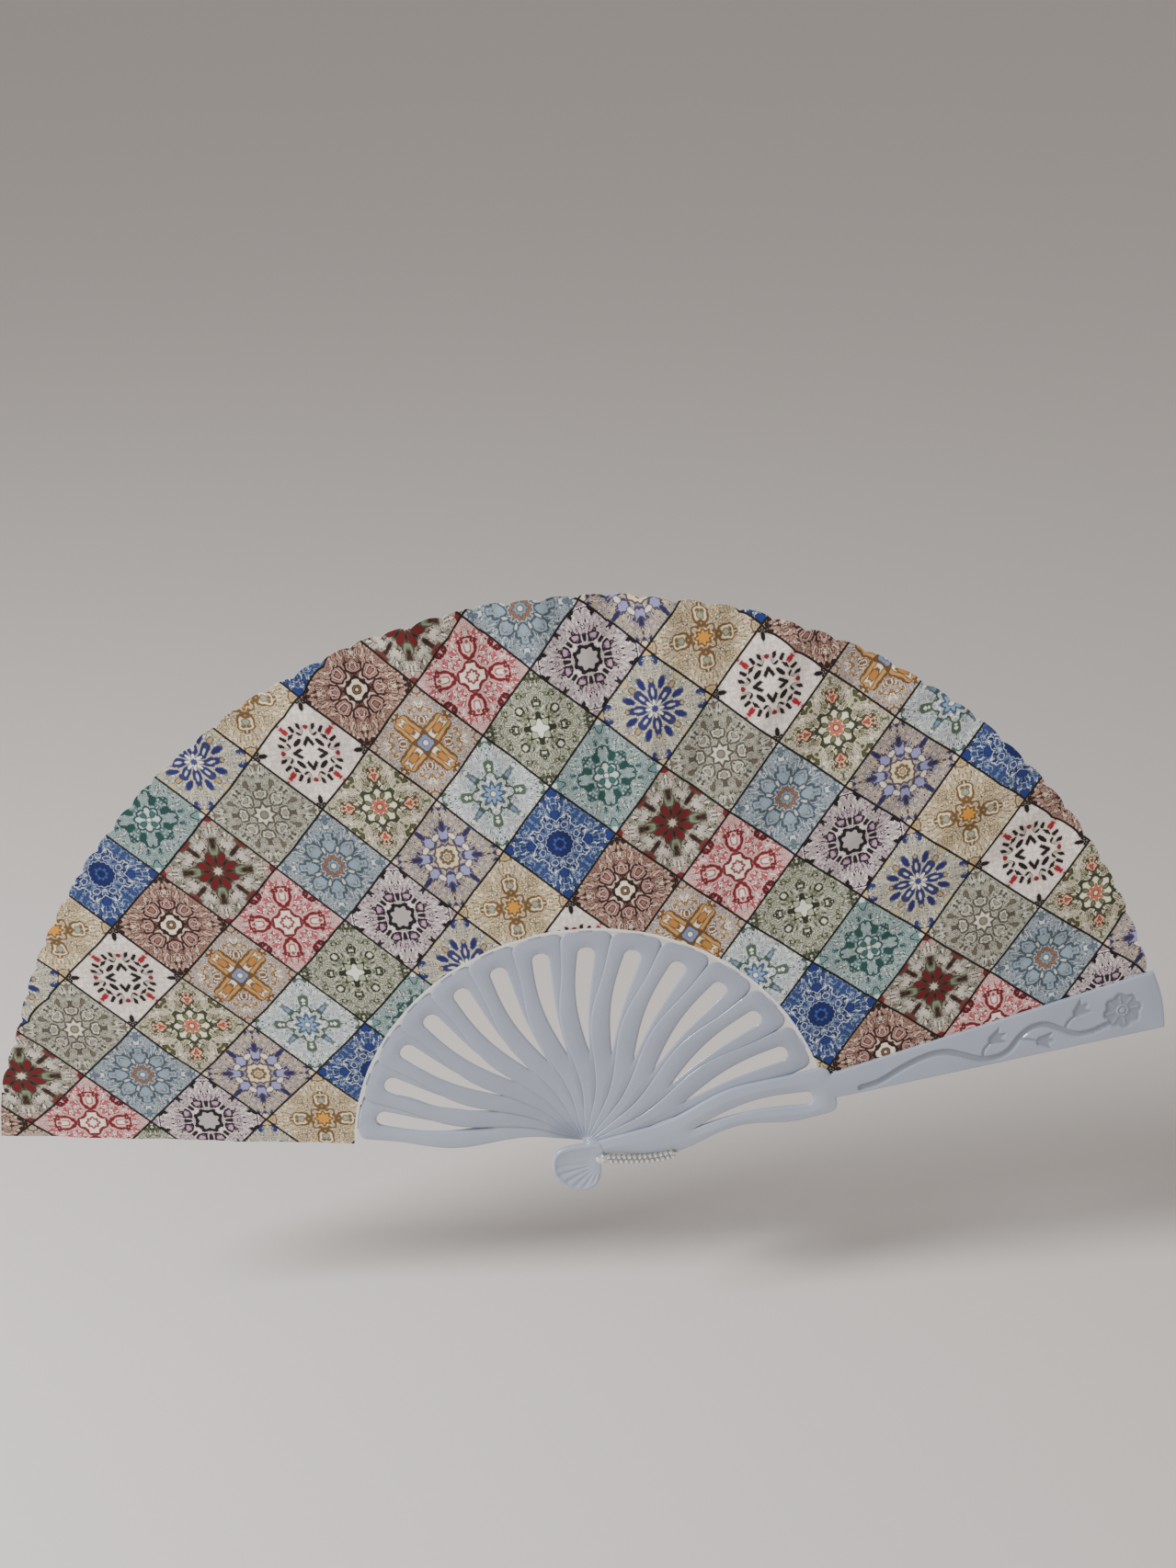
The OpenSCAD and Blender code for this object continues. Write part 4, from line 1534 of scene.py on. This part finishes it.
# %% Plain cloth materials
def plain_cloth(name):
    material, tree, shader = new_material(name)
    x, y = tile_coordinates(tree)
    fibres = noise(tree, x.with_other(y), 14)
    cloth_finish(tree, shader, two_tones(tree, fibres, (214, 212, 208), (240, 239, 236)), x, y)
    return material


def reverse_cloth(name):
    material, tree, shader = new_material(name)
    x, y = tile_coordinates(tree)
    far, near, _ = origins(x, y)
    which = tree.nodes.new("ShaderNodeVectorMath")
    which.operation = "FLOOR"
    tree.links.new(cloth_place(tree), which.inputs[0])
    tint = tree.nodes.new("ShaderNodeTexWhiteNoise")
    tree.links.new(which.outputs[0], tint.inputs["Vector"])
    ghost = noise(tree, (far + 4.0).with_other(near), 8)
    tone = two_tones(tree, ghost, (176, 172, 164), (214, 211, 204), 0.35, 0.65)
    stain = tree.nodes.new("ShaderNodeMix")
    stain.data_type = "RGBA"
    stain.inputs["Factor"].default_value = 0.14
    tree.links.new(tone, stain.inputs["A"])
    tree.links.new(tint.outputs["Color"], stain.inputs["B"])
    lines = (far * -1 + 0.488).inside(0.01) * 0.6
    cloth_finish(tree, shader, lay_colour(tree, stain.outputs["Result"], (120, 116, 112), lines), x, y)
    return material


CLOTH_FINISHES = DESIGNS + [plain_cloth("unprinted cloth"), reverse_cloth("cloth reverse")]
UNPRINTED = len(DESIGNS)
REVERSE = UNPRINTED + 1
print("cloth finishes:", len(CLOTH_FINISHES))

# %% [markdown]
# ## How the leaf is folded
# Between two sticks the cloth has one ridge towards the front and one valley towards the back, and
# it is glued flat to each stick. It also has to step one layer back on its way to the next stick.
# Near the guards the folds are shallower, because a closed leaf must lie between them. Out at the
# rim the cloth is free, so it ripples a little and its edge is softly scalloped.

# %% Folding rules
LEAF_OUT = 213.0
CLOTH_T = 0.16
FOLD = 1.5
BORDER_R = 87.5
SCALLOPS = 4
SCALLOP_DEPTH = 1.3
RIDGE, VALLEY = 0.29, 0.71
CREASE = 0.16
GLUED_AGAIN = 0.86
STICK_MARGIN = 0.2
SHALLOWEST = 0.06
DEEPENING = 0.55
RIPPLE = 0.4
RIPPLE_ZONE = 12.0
RIM_ZONE = 18.0
OVERHANG = 2.6
GLUE = 0.01


def seat(index):
    """The depth of the cloth's front where it is glued to a blade."""
    if index == 0:
        return blade_fronts[0] + GUARD_T - STEP + 2 * GLUE
    return blade_fronts[index] + STEP - CLOTH_T - GLUE


def fold(d):
    """A crease with a slightly rounded top: 1 at d = 0, and 0 from 1.1 times CREASE on."""
    return max(0.0, 1 - math.sqrt((d / CREASE) ** 2 + 0.012) + 0.11)


def fold_height(rho):
    return FOLD * clamp01((rho - LEAF_IN) / (LEAF_OUT - LEAF_IN)) ** 0.85


def pleat_depth(gap, s, rho):
    """The depth of the cloth at share s of the way from one stick to the next."""
    on_stick = math.degrees((STICK_W / 2 + STICK_MARGIN) / rho) / openings[gap - 1]
    t = clamp01((s - on_stick) / (GLUED_AGAIN - on_stick))
    y = mix(seat(gap - 1), seat(gap), t * t * (3 - 2 * t))
    height = fold_height(rho)
    forward = min(height, SHALLOWEST + DEEPENING * (gap - 1))
    backward = min(height, SHALLOWEST + DEEPENING * (REAR - gap))
    y += backward * fold(s - VALLEY) - forward * fold(s - RIDGE)
    free = math.sin(math.pi * clamp01(s)) ** 2
    rim = ease((rho - LEAF_OUT + RIPPLE_ZONE) / RIPPLE_ZONE)
    return y + free * rim * RIPPLE * math.sin(2 * math.pi * SCALLOPS * s) * min(1, forward)


def rim_overhang(gap, s):
    """At the rear guard the rim reaches a little past the strip's rounded end."""
    return OVERHANG * ease((s - 0.35) / 0.6) if gap == REAR else 0.0


def rim_radius(s):
    return LEAF_OUT - SCALLOP_DEPTH * (1 - abs(math.sin(math.pi * SCALLOPS * s))) ** 1.5


print("the middle gap's ridge at the rim lies at", round(pleat_depth(7, RIDGE, LEAF_OUT), 2), "mm")

# %% [markdown]
# ## The print's own coordinates
# The pattern was printed on flat cloth, as a lattice of tiles that lies askew to the fan, and only
# then was the cloth folded. Folding gathers it, and it is gathered more towards the guards. So the
# mesh is made in the same order. It starts as flat cloth, is cut along the borders of the tiles, so
# that each face belongs to one design and the printed lines stay sharp, gets its tile coordinates
# as a UV map, and last each corner is carried to its folded place.

# %% Print lattice
PRINT_ORIGIN = np.array((-49.8, 205.0))
PRINT_EDGES = np.array(((25.73, -18.58), (-18.37, -25.23)))
TO_PRINT = np.linalg.inv(PRINT_EDGES)


def gathering(turn):
    """For a direction on the fan, in degrees from upright: that on flat cloth, and the stretch."""
    t = turn / 60
    return turn + 6.72 * t - 1.25 * t * t - 0.82 * t**3, 1 + 0.005 * t + 0.034 * t * t


FAN_TURNS = np.linspace(-100, 90, 1901)
FLAT_TURNS = np.array([gathering(turn)[0] for turn in FAN_TURNS])


def flatten(angle, rho):
    """From a blade direction and a radius on the fan to a point of the flat cloth."""
    turn, stretch = gathering(90 - angle)
    return Vector((math.sin(math.radians(turn)), 0, math.cos(math.radians(turn)))) * (rho * stretch)


def unflatten(co):
    """The way back, from a point of the flat cloth to a blade direction and a radius."""
    turn = float(np.interp(math.degrees(math.atan2(co.x, co.z)), FLAT_TURNS, FAN_TURNS))
    return 90 - turn, math.hypot(co.x, co.z) / gathering(turn)[1]


def print_place(co):
    """A point of the flat cloth, counted in tiles along the lattice's two directions."""
    return (np.array((co.x, co.z)) - PRINT_ORIGIN) @ TO_PRINT


print("a tile's sides:", [round(float(np.hypot(*edge)), 1) for edge in PRINT_EDGES], "mm")


# %% Cut, print and thicken
def cut_along_tiles(bm):
    """Cuts the flat cloth along every line of the lattice that crosses it."""
    places = [print_place(vert.co) for vert in bm.verts]
    for axis in (0, 1):
        low = math.ceil(min(place[axis] for place in places))
        high = math.floor(max(place[axis] for place in places))
        normal = Vector((TO_PRINT[0][axis], 0, TO_PRINT[1][axis])).normalized()
        for line in range(low, high + 1):
            start = PRINT_ORIGIN + line * PRINT_EDGES[axis]
            bmesh.ops.bisect_plane(
                bm, geom=bm.verts[:] + bm.edges[:] + bm.faces[:], dist=0.01,
                plane_co=(start[0], 0, start[1]), plane_no=normal,
            )


def print_on(bm):
    """Gives every face its design, and lays the print's coordinates on the cloth."""
    layer = bm.loops.layers.uv.new("print")
    for face in bm.faces:
        middle = face.calc_center_median()
        u, v = print_place(middle)
        face.material_index = int(math.floor(u)) % 4 + 4 * (int(math.floor(v)) % 4)
        if unflatten(middle)[1] < BORDER_R:
            face.material_index = UNPRINTED
        for loop in face.loops:
            loop[layer].uv = print_place(loop.vert.co)


def give_cloth_thickness(bm):
    """Extrudes the printed face back by the cloth's thickness. The new faces are the reverse."""
    front = bm.faces[:]
    made = bmesh.ops.extrude_face_region(bm, geom=front)["geom"]
    for item in made:
        if isinstance(item, bmesh.types.BMVert):
            item.co.y += CLOTH_T
    kept = set(front)
    back = {item for item in made if isinstance(item, bmesh.types.BMFace)}
    for face in bm.faces:
        if face in back:
            face.material_index = REVERSE
        elif face not in kept:
            face.material_index = UNPRINTED
    bmesh.ops.recalc_face_normals(bm, faces=bm.faces)


print("the cloth is", CLOTH_T, "mm thick")

# That is why the leaf is thirteen pieces that meet on the sticks, where the cloth is glued flat and
# the joint can't be seen.

# %% One piece of leaf
TUCK = 2.0
BLEND_R = 130.0
BLEND_SHARE = 0.3
ROWS = (
    run(LEAF_IN + 0.15, BORDER_R, 2) + run(BORDER_R, 200, 30) + run(200, LEAF_OUT, 9) + [LEAF_OUT]
)


def near_rim(rho):
    return ease((rho - LEAF_OUT + RIM_ZONE) / RIM_ZONE)


def leaf_place(gap, s, rho):
    angle = mix(blade_angles[gap - 1], blade_angles[gap], s)
    reach = rho + (rim_radius(s) - LEAF_OUT + rim_overhang(gap, s)) * near_rim(rho)
    return blade_point(reach, 0, pleat_depth(gap, s, rho), angle) / MM


def cloth_width(gap, rho):
    """The width of the cloth at one radius, measured along its folds."""
    shares = np.linspace(0, 1, 61)
    points = [leaf_place(gap, s, rho) for s in shares]
    return sum((b - a).length for a, b in zip(points, points[1:]))


def leaf_mesh(shares, angle_at, share_at, place):
    """Flat cloth is gridded, cut and printed, and then folded to place(share, radius)."""
    bm = bmesh.new()
    across, up = len(shares) - 1, len(ROWS) - 1
    made = bmesh.ops.create_grid(bm, x_segments=across, y_segments=up, size=1)["verts"]
    for vert in made:
        share = shares[round((vert.co.x + 1) / 2 * across)]
        rho = ROWS[round((vert.co.y + 1) / 2 * up)]
        vert.co = flatten(angle_at(share, rho), rho)
    cut_along_tiles(bm)
    print_on(bm)
    for vert in bm.verts:
        angle, rho = unflatten(vert.co)
        vert.co = place(share_at(angle, rho), rho)
    give_cloth_thickness(bm)
    shade(bm, 60)
    return bm


def gap_shares(gap):
    """Stations across a gap. The first gap's cloth also reaches a little under the front guard."""
    tucked = [-TUCK / openings[0], -TUCK / openings[0] / 2] if gap == 1 else []
    return tucked + list(np.linspace(0, 1, 41))


print("stations across and along a gap:", len(gap_shares(2)), "x", len(ROWS))

# %% The thirteen gaps
for gap in range(1, REAR + 1):
    first_angle, opening = blade_angles[gap - 1], openings[gap - 1]
    bm = leaf_mesh(
        gap_shares(gap), lambda s, rho: first_angle + opening * s,
        lambda angle, rho: (angle - first_angle) / opening, lambda s, rho: leaf_place(gap, s, rho),
    )
    piece = finish_piece(
        "leaf_gap_%02d" % gap, bm, None, ["leaf_pleat_%02d" % gap], CLOTH_FINISHES
    )
    middle = (blade_angles[gap - 1] + blade_angles[gap]) / 2
    fold_half = BLEND_SHARE * openings[gap - 1]
    blade_point(BLEND_R, 0, 0, middle - fold_half)
    blade_point(BLEND_R, 0, 0, middle + fold_half)
    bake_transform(piece)
    radii = np.linspace(LEAF_IN, LEAF_OUT, 12)
    tucked_turn = math.radians(TUCK) if gap == 1 else 0
    widths = [cloth_width(gap, rho) + tucked_turn * rho for rho in radii]
    flat_area = sum((a + b) / 2 for a, b in zip(widths, widths[1:])) * (radii[1] - radii[0])
    blade_nodes[gap - 1] + "_moulding"
    blade_nodes[gap] + "_moulding"
    flat_area * MM * MM
    print(piece.name, len(piece.data.polygons), "faces, cut", round(widths[-1], 1), "mm wide")

# %% [markdown]
# ## The leaf's free margin
# Beyond the rear guard's strip the cloth runs on for a few millimetres, with its edge parallel to
# the strip. Nothing holds that edge, so it waves a little.

# %% End margin
MARGIN = 6.0


def margin_turn(rho):
    """The angle from the strip's middle line to the cloth's edge, in degrees."""
    return math.degrees(STRIP_HALF + math.asin(MARGIN / rho))


def margin_place(s, rho):
    free = ease((math.radians(margin_turn(rho) * s) - STRIP_HALF) / math.asin(MARGIN / rho))
    wave = 0.3 * math.sin(rho / 7.5) + 0.2 * math.sin(rho / 3.1 + 1)
    y = seat(REAR) + free * wave * ease((rho - LEAF_IN) / 8) - 2 * GLUE
    reach = rho + OVERHANG * near_rim(rho)
    return blade_point(reach, 0, y, blade_angles[REAR] + margin_turn(rho) * s) / MM


margin_bm = leaf_mesh(
    list(np.linspace(0, 1, 19)), lambda s, rho: blade_angles[REAR] + margin_turn(rho) * s,
    lambda angle, rho: (angle - blade_angles[REAR]) / margin_turn(rho), margin_place,
)
margin_piece = finish_piece("leaf_margin", margin_bm, "rear", ["leaf_end_tab"], CLOTH_FINISHES)
print("margin", len(margin_piece.data.polygons), "faces")

# %% [markdown]
